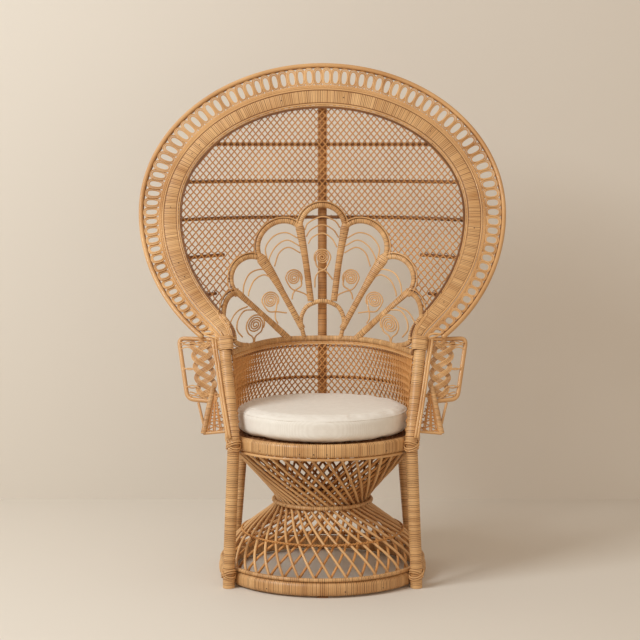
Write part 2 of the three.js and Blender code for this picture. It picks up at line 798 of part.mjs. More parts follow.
function ribPoints(order, side) {
  const curve = new THREE.SplineCurve([ribTops[order], ribMiddles[order], ribFeet[order]]
    .map(([x, z]) => new THREE.Vector2(x, z)));
  return curve.getPoints(ribSteps).map(({ x, y }) => ({ x: side * x, z: y }));
}

function rib(order, side, grow = 0) {
  const points = ribPoints(order, side);
  const last = points.length - 1;
  const head = points[0];
  const second = points[1];
  const lift = half(ribHeadWidths[order]) / Math.hypot(head.x - second.x, head.z - second.z);
  points.unshift({ x: head.x + (head.x - second.x) * lift, z: head.z + (head.z - second.z) * lift });
  const widths = points.map((_, i) => {
    const width = mix(ribHeadWidths[order], ribFootWidths[order], Math.max(i - 1, 0) / last);
    return (i === 0 ? half(width) : width) + grow + grow;
  });
  return bar(onFan(points), widths, flowerDepth + grow + grow, poleSides, facingFront);
}

function hubArch(grow = 0) {
  const left = hubLegs.map(([x, z]) => [-x, z]);
  const curve = new THREE.SplineCurve([...left, [0, hubTop], ...[...hubLegs].reverse()]
    .map(([x, z]) => new THREE.Vector2(x, z)));
  const points = curve.getPoints(hubSteps).map(({ x, y }) => ({ x, z: y }));
  return bar(onFan(points), hubRod + grow + grow, flowerDepth + grow + grow, poleSides, facingFront);
}

// The barrel's top rail runs along the foot of the fan, from shoulder to shoulder
function barrelHeadCurve(height) {
  const reach = postPoint(1, height).x - half(postWidth) - half(sheetThickness) - fit;
  const front = postPoint(1, height).y;
  const depth = spineY(height) - sheetStandoff - front;
  return new THREE.CatmullRomCurve3(Array.from({ length: hoopSteps + 1 }, (_, i) => {
    const share = Math.sin((i / hoopSteps - half(1)) * Math.PI);
    const y = front + depth * (1 - Math.abs(share) ** dishSharpness);
    return new THREE.Vector3(share * reach, y, height);
  }));
}

function barrelTopRail(grow = 0) {
  const curve = barrelHeadCurve(barrelRailHeight);
  const thick = barrelRailRod + grow + grow;
  return bar(curve.getSpacedPoints(barrelSteps), thick, thick, poleSides, facingUp);
}

function fanLattice() {
  const outer = bandInnerShare - sheetGap / bandStep.side;
  const inset = bandInnerShare - (sheetGap + sheetBorder) / bandStep.side;
  const foot = scallopPoints(ribTops.length).reduce((a, b) => (b.x > a.x ? b : a)).z;
  const below = new THREE.Shape([
    [-latticeOval.side, 0],
    [latticeOval.side, 0],
    [latticeOval.side, foot],
    [-latticeOval.side, foot],
  ].map(([x, z]) => new THREE.Vector2(x, z)));
  const region = (share, gap) => {
    const outline = Array.from({ length: hoopSteps + 1 }, (_, i) => {
      const { x, z } = ovalPoint(share, i / hoopSteps);
      return new THREE.Vector2(x, z);
    });
    const sheet = extruded(new THREE.Shape(outline), sheetThickness);
    const cuts = [below, ...petalShapes(gap)].map((shape) => toSolid(throughCut(shape, sheetThickness)));
    return cuts.reduce((solid, cut) => solid.subtract(cut), toSolid(sheet));
  };
  const tall = latticeOval.rise + latticeOval.drop;
  const extent = { x: 0, z: raised(latticeOval.mid), width: latticeOval.side * 2, height: tall * 2 };
  const plate = diamondGrid(region(outer, 0), region(inset, sheetBorder), fanCell, extent, sheetThickness);
  return laySheet(plate, sheetThickness, (x, z, depth) => offSurface(onDish, x, z, depth));
}

// The flower's ground: what lies inside each scallop, out to its edge and a gap
function petalShapes(gap) {
  const outward = half(scallopRod) + fit + gap;
  const shapes = [];
  for (let order = 0; order <= ribTops.length; order += 1) {
    for (const side of order === 0 ? [1] : [-1, 1]) {
      const edge = mirrored(scallopPoints(order, outward), side).map(({ x, z }) => new THREE.Vector2(x, z));
      shapes.push(new THREE.Shape([...edge, new THREE.Vector2(0, hubTop - scallopRod)]));
    }
  }
  return shapes;
}

function makeFan() {
  const posts = [-1, 1].map((side) => frontPost(side, fit));
  const wings = [-1, 1].map((side) => wingPoles(side, fit));
  addPiece('hoop_band', carve(hoopBand(), posts));
  addPiece('rim_pole', carve(rimPole(), wings));
  addPiece('lace_border', carve(laceBorder(), [...wings, ...posts]));
  addPiece('fan_lattice', fanLattice());
}

function makeFlower() {
  const rail = barrelTopRail(fit);
  const hub = hubArch(fit);
  const ribs = ribTops.map((_, order) => [-1, 1].map((side) => ({ order, side }))).flat();
  for (const { order, side } of ribs) {
    addPiece(`rib_${order + 1}_${sideNames[side]}`, carve(rib(order, side), [rail, hub]));
  }
  addPiece('hub_arch', carve(hubArch(), [rail]));
  addPiece('scallop_middle', carve(scallop(0, 1), [rib(0, -1, fit), rib(0, 1, fit)]));
  for (const side of [-1, 1]) {
    for (let order = 1; order <= ribTops.length; order += 1) {
      const cutters = [rib(order - 1, side, fit), scallop(order - 1, side, fit), rail];
      if (order < ribTops.length) cutters.push(rib(order, side, fit));
      addPiece(`scallop_${order}_${sideNames[side]}`, carve(scallop(order, side), cutters));
    }
  }
}

// Rods behind the lattice; the lower ones stop at the flower
function backRail(height, from, to) {
  const behind = -(half(sheetThickness) + railGap + half(railRod));
  const points = Array.from({ length: railSteps + 1 }, (_, i) => {
    const x = mix(from, to, i / railSteps);
    return offSurface(onDish, x, height, behind);
  });
  return carve(bar(points, railRod, railRod, rodSides, facingUp), [hoopBand(fit)]);
}

function flowerEdge(height) {
  const rows = ribTops.map((_, order) => scallopPoints(order + 1, scallopRod)).flat();
  return Math.max(...rows.filter(({ z }) => Math.abs(z - height) < scallopBulges[0]).map(({ x }) => x));
}

function makeRails() {
  const reachAt = (height) => ovalHalfWidth(ovalAt(half(1)), height);
  fullRailHeights.forEach((height, i) => {
    addPiece(`back_rail_${i + 1}`, backRail(height, -reachAt(height), reachAt(height)), caneDark);
  });
  brokenRailHeights.forEach((height, i) => {
    for (const side of [-1, 1]) {
      const name = `back_rail_${fullRailHeights.length + i + 1}_${sideNames[side]}`;
      addPiece(name, backRail(height, side * flowerEdge(height), side * reachAt(height)), caneDark);
    }
  });
}

// A spiral coil: one unbroken rod that winds outwards and runs on to the piece that holds it
function coilPath(order, side) {
  const [centreX, centreZ] = coilCentres[order];
  const turnsShare = coilTurns * Math.PI * 2;
  const steps = Math.round(coilTurns * coilSteps);
  const points = Array.from({ length: steps + 1 }, (_, i) => {
    const radius = mix(coilEyeRadius, coilRadius, i / steps);
    const angle = (i / steps) * turnsShare;
    return { x: centreX + radius * Math.cos(angle), z: centreZ + radius * Math.sin(angle) };
  });
  const tail = [coilTailBends[order], coilTails[order]].map(([x, z]) => ({ x, z }));
  return onFan(mirrored([...points, ...tail], side));
}

function coil(order, side) {
  return bar(coilPath(order, side), coilRod, coilRod, rodSides, facingFront);
}

// The least gap between the turns of one coil, measured on the points of its path
function coilGap(order) {
  const path = coilPath(order, 1);
  let least = Infinity;
  for (let i = 0; i < path.length; i += 1) {
    for (let j = i + half(coilSteps); j < path.length; j += 1) {
      least = Math.min(least, path[i].distanceTo(path[j]) - coilRod);
    }
  }
  return least;
}

function makeCoils() {
  const rail = barrelTopRail(fit);
  coilCentres.forEach((_, order) => {
    for (const side of order === 0 ? [1] : [-1, 1]) {
      const name = order === 0 ? 'coil_middle' : `coil_${order}_${sideNames[side]}`;
      const ribs = ribTops.map((__, i) => rib(i, side, fit));
      addPiece(name, carve(coil(order, side), [rail, ...ribs, scallop(ribTops.length, side, fit)]));
    }
    console.log(`coil ${order + 1}: least gap between turns ${coilGap(order).toFixed(2)} mm`);
  });
}

// The barrel wall rises from an arc on the seat band to the rail at the foot of the fan
const barrelFootHeight = seatTop + fit;
const barrelTop = barrelRailHeight - half(barrelRailRod) - fit;

function barrelFootCurve() {
  const backRadius = seatRadius - half(seatBandWall);
  const frontRadius = standRadius(seatTop, postWidth) - half(postWidth) - fit - half(sheetThickness);
  const end = Math.PI - rad(postAzimuth);
  return new THREE.CatmullRomCurve3(Array.from({ length: hoopSteps + 1 }, (_, i) => {
    const share = mix(-1, 1, i / hoopSteps);
    const radius = mix(backRadius, frontRadius, share ** footSharpness);
    const [x, y] = [radius * Math.sin(share * end), radius * Math.cos(share * end)];
    return new THREE.Vector3(x, y, barrelFootHeight);
  }));
}

const barrelFoot = barrelFootCurve();
const barrelHead = barrelHeadCurve(barrelTop);

function onBarrel(along, up) {
  const share = THREE.MathUtils.clamp(along, 0, 1);
  return barrelFoot.getPointAt(share).lerp(barrelHead.getPointAt(share), up);
}

// A point at a distance outside the barrel's sheet, at the sheet's own height
function offBarrel(along, up, distance) {
  const step = half(1) / hoopSteps;
  const right = new THREE.Vector3().subVectors(onBarrel(along + step, up), onBarrel(along - step, up));
  const outwards = new THREE.Vector3(-right.y, right.x, 0).normalize();
  return onBarrel(along, up).addScaledVector(outwards, distance);
}

function barrelLattice() {
  const length = half(barrelFoot.getLength() + barrelHead.getLength());
  const height = barrelTop - barrelFootHeight;
  const panel = (border) => {
    const [wide, high] = [length - border - border, height - border - border];
    const box = new THREE.BoxGeometry(wide, high, sheetThickness, barrelSteps, 1, 1);
    return toSolid(box.translate(0, 0, half(sheetThickness)));
  };
  const extent = { x: 0, z: 0, width: length, height };
  const plate = diamondGrid(panel(0), panel(sheetBorder), barrelCell, extent, sheetThickness);
  return laySheet(plate, sheetThickness, (x, y, depth) => {
    return offBarrel(x / length + half(1), y / height + half(1), depth);
  });
}

function barrelMidRail(grow = 0) {
  const up = (barrelMidHeight - barrelFootHeight) / (barrelTop - barrelFootHeight);
  const behind = half(sheetThickness) + fit + half(railRod);
  const steps = Array.from({ length: barrelSteps - 1 }, (_, i) => (i + 1) / barrelSteps);
  const points = steps.map((along) => offBarrel(along, up, behind));
  return bar(points, railRod + grow + grow, railRod + grow + grow, rodSides, facingUp);
}

function makeBarrel() {
  const posts = [frontPost(-1, fit), frontPost(1, fit)];
  addPiece('barrel_top_rail', carve(barrelTopRail(), posts));
  addPiece('barrel_mid_rail', barrelMidRail(), caneDark);
  addPiece('barrel_lattice', carve(barrelLattice(), [...posts, barrelMidRail(fit)]));
}

// Places of a wing in the front view, from their reaches and their shares of the height
function wingPlaces(reaches, heightShares) {
  return Object.keys(reaches).map((name) => {
    const height = mix(seatTop, shoulderHeight, heightShares[name]);
    return [postPoint(1, height).x + reaches[name], height];
  });
}

const [wingCorner, wingFoot, wingInner] = wingPlaces(wingReaches, wingHeightShares);
const [braceTop, braceFoot, braceEnd] = wingPlaces(braceReaches, braceHeightShares);
const [thinPoleTop, thinPoleFoot] = wingPlaces(thinPoleReaches, thinPoleHeightShares);

// The wings' surface sweeps back outwards from the front posts
function onWing(side, x, z, forward = 0) {
  const post = postPoint(1, z);
  return new THREE.Vector3(side * x, post.y + wingSweepShare * (x - post.x) - forward, z);
}

function wingBar(side, points, diameter, forward = 0) {
  return bar(points.map(([x, z]) => onWing(side, x, z, forward)), diameter, diameter, poleSides);
}

// A part of the wing between the post's middle line and the poles' middle lines, drawn in by two gaps
function wingOutline(inner, edge) {
  const [[cornerX, cornerZ], [footX, footZ]] = [wingCorner, wingFoot];
  return new THREE.Shape([
    [postPoint(1, footZ).x + inner, footZ + edge],
    [footX - edge, footZ + edge],
    [cornerX - edge, cornerZ - edge],
    [postPoint(1, cornerZ).x + inner, cornerZ - edge],
  ].map(([x, z]) => new THREE.Vector2(x, z)));
}

// One bent outer pole, a brace in front of its foot, a thin pole and the small woven corner below
function wingPoles(side, grow = 0) {
  const thick = wingPole + grow + grow;
  const forward = half(wingPole);
  const topInner = [postPoint(1, wingCorner[1]).x, wingCorner[1]];
  const corner = new THREE.Shape([braceTop, braceFoot, braceEnd].map(([x, z]) => new THREE.Vector2(x, z)));
  const plate = extruded(corner, wingWeave);
  return join([
    wingBar(side, [topInner, wingCorner, wingFoot, wingInner], thick),
    wingBar(side, [braceTop, braceFoot, braceEnd], thick, forward),
    wingBar(side, [thinPoleTop, thinPoleFoot], thinPole + grow + grow),
    laySheet(plate, wingWeave, (x, z, depth) => onWing(side, x, z, forward - depth)),
  ]);
}

function wingWeaveSheet(side) {
  const [x, z] = [half(postPoint(1, wingFoot[1]).x + wingCorner[0]), half(wingFoot[1] + wingCorner[1])];
  const extent = { x, z, width: (wingCorner[0] - x) * 2, height: wingCorner[1] - wingFoot[1] };
  const inner = half(knuckleWidth) + pipingRod + pipingRod + sheetBorder;
  const region = (shape) => toSolid(extruded(shape, wingWeave));
  const opening = region(wingOutline(inner, half(wingPole) + sheetBorder));
  const plate = diamondGrid(region(wingOutline(0, 0)), opening, wingCell, extent, wingWeave);
  return laySheet(plate, wingWeave, (a, b, depth) => onWing(side, a, b, depth));
}

function makeWings() {
  for (const side of [-1, 1]) {
    const neighbours = [frontPost(side, fit), postPiping(side, fit), hoopBand(fit)];
    addPiece(`wing_frame_${sideNames[side]}`, carve(wingPoles(side), neighbours));
    const weave = carve(wingWeaveSheet(side), [...neighbours, wingPoles(side, fit)]);
    addPiece(`wing_weave_${sideNames[side]}`, weave);
  }
}

makeBase();
makeSeat();
makePosts();
makeFan();
makeFlower();
makeRails();
makeCoils();
makeBarrel();
makeWings();

const box = new THREE.Box3().setFromObject(chair);
chair.position.y = -half(box.min.y + box.max.y);

export default chair;
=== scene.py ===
"""A peacock chair in full detail: wrapped bands, woven cane, lace, coils and a linen cushion.

Lengths are in metres and angles in radians. The chair faces -Y and stands on z = 0.
"""

import math

import bpy
import numpy as np
from mathutils import Matrix, Vector


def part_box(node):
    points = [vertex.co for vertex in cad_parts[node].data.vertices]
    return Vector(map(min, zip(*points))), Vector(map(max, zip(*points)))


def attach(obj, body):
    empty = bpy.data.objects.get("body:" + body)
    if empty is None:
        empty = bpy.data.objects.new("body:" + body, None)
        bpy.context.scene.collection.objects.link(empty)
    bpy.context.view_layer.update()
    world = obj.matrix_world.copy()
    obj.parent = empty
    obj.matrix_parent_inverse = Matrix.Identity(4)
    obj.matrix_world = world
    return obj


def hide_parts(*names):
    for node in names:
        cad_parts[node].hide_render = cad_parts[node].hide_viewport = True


bl_info = {
    "name": "Peacock chair",
    "version": (1, 0, 0),
    "blender": (4, 5, 0),
    "location": "3D View > Sidebar > Peacock chair",
    "description": "Makes a peacock chair of woven cane around its frame",
    "category": "Object",
}

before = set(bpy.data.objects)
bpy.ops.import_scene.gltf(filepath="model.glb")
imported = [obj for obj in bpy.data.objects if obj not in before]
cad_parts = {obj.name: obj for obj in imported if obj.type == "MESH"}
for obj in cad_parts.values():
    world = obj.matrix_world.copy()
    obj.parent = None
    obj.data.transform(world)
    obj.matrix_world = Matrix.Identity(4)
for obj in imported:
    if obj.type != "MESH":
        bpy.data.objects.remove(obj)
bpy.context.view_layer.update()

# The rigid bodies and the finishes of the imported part
CHAIR = "chair"
CUSHION = "cushion"
SIDES = (("left", -1), ("right", 1))
MIDDLE = (("middle", 1),)

# Bands of the base and the seat, read from the frame
BASE_LOW, BASE_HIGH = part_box("base_band")
SEAT_LOW, SEAT_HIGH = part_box("seat_band")
AXIS_Y = (BASE_LOW.y + BASE_HIGH.y) / 2
BASE_RADIUS = BASE_HIGH.x
SEAT_RADIUS = SEAT_HIGH.x
BASE_BAND_WALL = 0.032
SEAT_BAND_WALL = 0.024
BAND_EDGE_SHARE = 0.44
FIT = 0.0003
MERGE_GAP = 1e-6
GLIDE_BEVEL = 0.0012

# Seat deck: slats to each side of the middle one, each passing over and under the others
DECK_SLATS = 14
DECK_SPACING = 0.0165
DECK_END_GAP = 0.005
DECK_WAVE = 0.0022
DECK_DROP = 0.0068

# Posts, legs and the spine
POST_WIDTH = 0.035
POST_AZIMUTH = math.radians(55.9)
POST_CLEARANCE = 0.0006
SHOULDER_X = 0.285
SHOULDER_Z = 0.702
SHOULDER_Y = AXIS_Y - 0.050
KNUCKLE_WIDTH = 0.046
KNUCKLE_DEPTH = 0.038
KNUCKLE_HEIGHT = 0.038
KNUCKLE_SHIFT = 0.0035
KNUCKLE_EDGE_SHARE = 0.32
KNUCKLE_TAPER = ((0, 0.12, 0.3, 0.85, 1), (0.80, 0.95, 1, 1, 0.90))
LEG_WIDTH = 0.027
LEG_FOOT_AZIMUTH = math.radians(57)
LEG_SEAT_AZIMUTH = math.radians(51.5)
LEG_PRESS = 0.002
SPINE_WIDTH = 0.029
SPINE_TOP = 1.414
SPINE_LEAN_SHARE = 0.08
SPINE_PITCH = 0.005

# Piping down each post: its turns round the post, and where it steps in under the knuckle
PIPING_ROD = 0.0084
PIPING_TURNS = (math.radians(65), math.radians(47))
PIPING_STEP_SHARES = (0.14, 0.24)
PIPING_END_GAPS = (0.006, 0.003)
PIPING_FOOT_SHARE = 0.3

# Lashings: crossed loops that tie each post to the bands
LASHING_ROD = 0.0044
LASHING_GAP = 0.0022
LASHING_LAP = 0.0007
LASHING_SPACING = 0.0062
LASHING_LEAN = 0.011
SEAT_LASHING_DROP = 0.020
ANKLE_LASHING_Z = 0.040

# Rings and crossed rods of the base
WAIST_Z = 0.220
WAIST_RING_RADIUS = 0.1425
WAIST_ROD = 0.0125
WAIST_RODS_RADIUS = 0.1318
TIE_Z = 0.135
TIE_INSET = 0.009
TIE_STRAND = 0.0036
TIE_TWISTS = 80
CROSS_BOTTOM = 0.046
CROSS_TOP = 0.388
CROSS_BASE_RADIUS = 0.2864
CROSS_SEAT_RADIUS = 0.2714
CROSS_SPACING = 0.0086
UPPER_TWIST = math.radians(43)
LOWER_TWIST = math.radians(41)
WAIST_SHARPNESS_SHARE = 0.105
BASE_RING_ROD = 0.012
BASE_RING_INSET = 0.009
HOOP_ROD = 0.008
SEAT_RING_INSET = 0.007
INNER_HOOP_INSET = 0.0066

# The fan's nested ovals in the front view: side, middle, rise, drop and neck
LATTICE_OVAL = (0.428, 1.056, 0.312, 0.401, 0.262)
BAND_STEP = (0.061, -0.011, 0.076, 0.010, 0.018)
LACE_STEP = (0.057, 0.022, 0.041, 0.061, -0.100)
NECK_SHARPNESS = 12
BAND_INNER_SHARE = 0.15
BAND_OUTER_SHARE = 0.8
BAND_MIDDLE_SHARE = (BAND_INNER_SHARE + BAND_OUTER_SHARE) / 2
BAND_DEPTH = 0.014
BAND_ROUNDING_SHARE = 0.45
RIM_SHARE = 2.0
RIM_ROD = 0.013
# A thin dark rod just inside the rim paints the shade in the gap there; the same rod width serves the
# scallops' painted shade
RIM_GROOVE_SHADE_GAP = 0.0012
RIM_GROOVE_SHADE_BACK = 0.001
GROOVE_SHADE_ROD = 0.0034

# How many points the bands' rings, the ovals, the rim and the fine plaits are drawn through
BAND_COUNT = 160
OVAL_COUNT = 240
RIM_COUNT = 260
FINE_COUNT = 1400

# Thin rods at the band's edges: at which edge, and how far outwards in widths of the piping
HOOP_PIPING = ((BAND_OUTER_SHARE, 0.35), (BAND_INNER_SHARE, -0.3))
HOOP_STRANDS = ((BAND_INNER_SHARE, -1.2), (BAND_OUTER_SHARE, 1.3))
# Dark rods in the creases between the band and its piping paint the shade there
HOOP_GROOVE_SHADES = ((BAND_OUTER_SHARE, -0.3), (BAND_INNER_SHARE, 0.35))
HOOP_PIPING_FORWARD = 0.004
HOOP_STRANDS_FORWARD = 0.002
HOOP_GROOVE_SHADES_FORWARD = 0.005
HOOP_STRANDS_SHARE = 0.7
HOOP_GROOVE_SHADES_SHARE = 0.55

# Plaits along the band's edges: how far outwards, and their reach, period and number of strands
BEADING_OUT_SHARE = -2.1
BEADING = (0.0026, 0.0085, 2)
BEADING_ROD = 0.0034
BRAID_OUT_SHARE = 1.75
BRAID = (0.0036, 0.017, 3)
BRAID_ROD = 0.0036
BRAID_FORWARD = 0.0015
BRAID_LIFT = 0.0013

# Lace between the band and the rim
LACE_STRAND = 0.0046
LACE_LOOP_SHARES = ((0.53, 0.50), (0.37, 0.40))
LACE_GAP_SHARE = 2.5
LACE_ROUNDING = 0.8
LACE_WEAVE = 0.0022
LACE_EDGE_STRAND = 0.0036
LACE_EDGE_FORWARD = 0.001

# The fan's lean and the dish of its lattice
FAN_TOP = 1.5
FAN_LEAN = 0.42
STRAIGHT_LEAN_SHARE = 0.3
DISH_SHARPNESS = 3
SHEET_STANDOFF = 0.0283
LATTICE_EDGE_GAP = 0.002
WEAVE_SHARE = 0.4

# Rails behind the lattice, and the ties round them
RAIL_ROD = 0.0105
RAIL_STANDOFF = 0.0098
RAIL_END_SHARE = 0.5
RAIL_TIE_STRAND = 0.0022
RAIL_TIE_LEAN = 0.25
RAIL_TIE_RISE = 0.0066
RAIL_TIE_DEPTH = 0.0098
FULL_RAILS = (1.255, 1.142, 1.032)
BROKEN_RAILS = (0.924, 0.820)

# The flower: ribs from the centre outwards on one side, and the scallops between them
SCALLOP_ROD = 0.016
FLOWER_DEPTH = 0.012
FLOWER_FORWARD = 0.004
FLOWER_PITCH = 0.0054
FLOWER_SWELL = 0.0007
RIB_TOPS = ((0.069, 0.998), (0.185, 0.901), (0.255, 0.806))
RIB_MIDDLES = ((0.051, 0.894), (0.144, 0.838), (0.182, 0.738))
RIB_FEET = ((0.0355, 0.774), (0.062, 0.690), (0.104, 0.660))
RIB_HEAD_WIDTHS = (0.028, 0.036, 0.030)
RIB_FOOT_WIDTHS = (0.020, 0.020, 0.022)
RIB_DEPTH = 0.014
RIB_TAPER_PLACES = (0, 0.06, 0.2, 0.5, 1)
RIB_CROWN_SHARE = 0.6
RIB_NECK_SHARE = 0.85
OUTER_SCALLOP_FOOT = (0.223, 0.664)
SCALLOP_BULGES = (0.070, 0.066, 0.057, 0.046)
SCALLOP_LEAN_SHARES = (0, 0, 0, -0.5)
# Place of the dark rod that paints the shade in the gap round each scallop
SCALLOP_GROOVE_SHADE_OUT = 0.0008
SCALLOP_GROOVE_SHADE_FORWARD = 0.001
SCALLOP_EDGE_OUT = 0.0034
SCALLOP_EDGE_FORWARD = 0.006
SCALLOP_EDGE_ROD = 0.0046
HUB_LEGS = ((0.056, 0.660), (0.067, 0.711), (0.059, 0.742), (0.041, 0.762))
HUB_TOP = 0.775
HUB_ROD = 0.014
LATTICE_FOOT = 0.772

# Thin brows inside the petals, through a few places each
BROWS = (
    ((0.076, 0.967), (0.112, 0.984), (0.150, 0.973), (0.175, 0.939), (0.171, 0.905)),
    ((0.070, 0.943), (0.108, 0.961), (0.142, 0.943), (0.164, 0.905), (0.159, 0.884)),
    ((0.068, 0.922), (0.104, 0.939), (0.133, 0.922), (0.148, 0.881)),
    ((0.159, 0.862), (0.188, 0.873), (0.222, 0.862), (0.239, 0.832), (0.242, 0.802)),
    ((0.150, 0.841), (0.180, 0.856), (0.209, 0.841), (0.224, 0.811), (0.226, 0.796)),
    ((0.228, 0.767), (0.255, 0.759), (0.270, 0.738), (0.270, 0.716), (0.260, 0.697)),
    ((0.209, 0.756), (0.236, 0.757), (0.251, 0.738), (0.252, 0.716), (0.238, 0.693)),
)
MIDDLE_BROWS = (
    ((-0.054, 0.992), (-0.043, 1.014), (0, 1.033), (0.038, 1.020), (0.054, 0.999)),
    ((-0.050, 0.971), (-0.035, 0.993), (0, 1.008), (0.033, 0.993), (0.050, 0.969)),
    ((-0.043, 0.950), (-0.031, 0.969), (0, 0.982), (0.028, 0.967), (0.045, 0.939)),
)
BROW_ROD = 0.0046

# Coils: their centres, and from there the two ends that cross below and run on to the ribs
COIL_RADIUS = 0.0275
COIL_EYE_RADIUS = 0.0028
COIL_ROD = 0.0047
COIL_INSET_SHARE = 1.4
COIL_ARCH_TURNS = (1.15, -0.05)
COIL_LAP = 0.001
COIL_CENTRES = ((0, 0.908), (0.088, 0.845), (0.161, 0.778), (0.204, 0.716))
COIL_TAILS = (
    (((-0.016, -0.028), (0.010, -0.042), (0.026, -0.060), (0.032, -0.068)),
     ((0.010, -0.034), (-0.011, -0.045), (-0.022, -0.063), (-0.023, -0.092))),
    (((-0.023, -0.023), (-0.006, -0.036), (0.003, -0.049), (0.006, -0.065)),
     ((0.008, -0.032), (-0.018, -0.042), (-0.039, -0.052), (-0.045, -0.068))),
    (((-0.019, -0.019), (-0.015, -0.039), (-0.016, -0.055), (-0.023, -0.068)),
     ((0.006, -0.031), (-0.019, -0.034), (-0.049, -0.039))),
    (((-0.017, -0.020), (-0.004, -0.029), (0.001, -0.036), (0.002, -0.050)),
     ((0.019, -0.019), (0.010, -0.029), (0.006, -0.037), (0.005, -0.050))),
)

# Barrel: the woven wall between the seat and the fan
BARREL_RAIL_Z = 0.660
BARREL_RAIL_ROD = 0.016
BARREL_RAIL_DEPTH = 0.018
BARREL_RAIL_PITCH = 0.0036
BARREL_PIPING_IN = 0.001
BARREL_PIPING_DROP = 0.0115
BARREL_PIPING_STEP_SHARE = 0.85
BARREL_STRAND_SHARE = 1.06
BARREL_TOP = 0.6517
BARREL_MID_Z = 0.541
BARREL_FOOT = 0.4293
BARREL_REACH_GAP = 0.0198
BARREL_FOOT_GAP = 0.0023
FOOT_SHARPNESS = 4
MID_RAIL_ENDS = (0.045, 0.955)
MID_RAIL_STANDOFF = 0.0072
MID_RAIL_PITCH = 0.009
MID_RAIL_SWELL = 0.0012
BEADS_DROP_SHARE = 2.1
BEAD_WIDTH = 0.0062
BEAD_PITCH = 0.008
BEAD_SWELL = 0.0011

# Wings: woven panels outside the front posts
WING_POLE = 0.0125
WING_CORNER = (0.417, 0.695)
WING_FOOT = (0.387, 0.529)
WING_INNER = (0.319, 0.525)
WING_SWEEP = 0.3
WING_ROUNDING = 0.018
WING_STRAND = 0.0036
PLAIT_BANDS = 3
PLAIT_CANES = 4
PLAIT_PERIOD = 0.090
PLAIT_LIFT = 0.0042
PLAIT_REACH_SHARE = 0.33
PLAIT_INNER = 0.027
PLAIT_OUTER = 0.023
PLAIT_SPACING_SHARE = 1.04
PLAIT_FORWARD = 0.003
BRACE_WIDTH = 0.017
BRACE_PITCH = 0.004
BRACE_TOP = (0.312, 0.566)
BRACE_FOOT = (0.338, 0.438)
BRACE_END = (0.271, 0.447)
THIN_POLE_TOP = (0.355, 0.520)
THIN_POLE_FOOT = (0.339, 0.463)

# Short canes from the plait to the outer pole: the height and the bend of each
STILE_TIES = ((0.664, 0.008), (0.616, -0.006), (0.609, 0.005), (0.560, 0.007), (0.566, -0.006))
STILE_TIE_REACH = 0.040
STILE_TIE_FORWARD = 0.005

# Wavy canes along the panel's top and bottom
EDGE_CANES = 3
EDGE_CANE_ENDS = (0.026, 0.006)
EDGE_CANE_INSET = 0.009
EDGE_CANE_STEP = 0.0045
EDGE_CANE_PERIOD = 0.034
EDGE_CANE_PHASE = 2.1
EDGE_CANE_WAVE = 0.0022
EDGE_CANE_FORWARD = 0.006
EDGE_CANE_LIFT = 0.002

# The woven triangle under the wing, by shares of the way down the brace
CORNER_RUNGS = 13
CORNER_RUNG_SHARES = (0.16, 0.96)
CORNER_WAVE = 0.003
CORNER_FORWARD = 0.004
CORNER_LIFT = 0.0022
CORNER_STRAND_START = 0.1
CORNER_STRAND_SHARES = (0.14, 0.22, 0.42, 0.5, 0.72, 0.8)
CORNER_STRAND_FORWARD = 0.006

# Nail heads, by their turns from the front in degrees and their shares along the hoop
NAIL_WIDTH = 0.0034
SEAT_NAIL_TURNS = (-38, -13, -5, 2.4, 39)
SEAT_NAIL_RISE = 0.012
WAIST_NAIL_TURNS = (-46, 8, 61)
BASE_NAIL_TURNS = (-31, 12, 34)
BASE_NAIL_RISE = 0.014
RIB_NAIL_ROWS = (3, -3)
HOOP_NAIL_SHARES = (0.06, 0.17, 0.33, 0.47, 0.56, 0.70, 0.715, 0.80, 0.88, 0.90)

# Winding: how many wraps share a patch of tone, and how the painted shade in the grooves and the turns of
# reed differ
WRAPS_PER_PATCH = 6
PATCH_SHARE = 0.45
GROOVE_SHADE_EVENNESS = 0.6
GROOVE_SHADE_POWER = 1.5
REED_SWELL = 0.0008
REED_SHIFT_SHARE = 0.12
REED_SWELL_SHARE = 0.25

# Cushion
CUSHION_RADIUS = 0.260
CUSHION_HEIGHT = 0.075
CUSHION_SHIFT = 0.023
CUSHION_SHRINK = 0.005
CUSHION_SWELL = 0.0065
CUSHION_ROUNDING = 0.018
CUSHION_VOXEL = 0.006
CLOTH_PRESSURE = 4
CLOTH_FRAMES = 20
SEAM_DROP = 0.013
SEAM_CORD = 0.0036
SEAM_SAMPLE = 0.004

# Shading of the cane and the linen
CANE_PALENESS = 0.6
CANE_ROUGHNESS = 0.46
CANE_ROUGHNESS_SPREAD = 0.14
# How sharply the painted shade in the grooves gives way to the cane's colour on each crest
CREST_GAIN = 1.3
LINEN_PALENESS = 0.62
LINEN_ROUGHNESS = 0.85
LINEN_ROUGHNESS_SPREAD = 0.1

# Stage: the floor and the wall, then each light's place, width, power and colour
WALL_Y = 0.99
STAGE_WIDTH = 16
FLOOR_DEPTH = 8
WALL_HEIGHT = 6
BACKDROP_ROUGHNESS = 0.9
KEY_LIGHT = ((-3.1, -2.4, 3.6), 2.0, 162, (0.92, 0.97, 1.0))
FILL_LIGHT = ((2.2, -4.4, 2.0), 3.0, 24, (1.0, 0.86, 0.72))
LIGHT_AIM = (0, 0, 0.7)
WORLD_COLOUR = (1.0, 0.82, 0.67)
WORLD_STRENGTH = 0.51
CAMERA_X = -0.0072
CAMERA_Z = 1.27
CAMERA_DISTANCE = 5.0
CAMERA_DROP = math.radians(5.97)
CAMERA_LENS = 97.3
CAMERA_SENSOR = 36


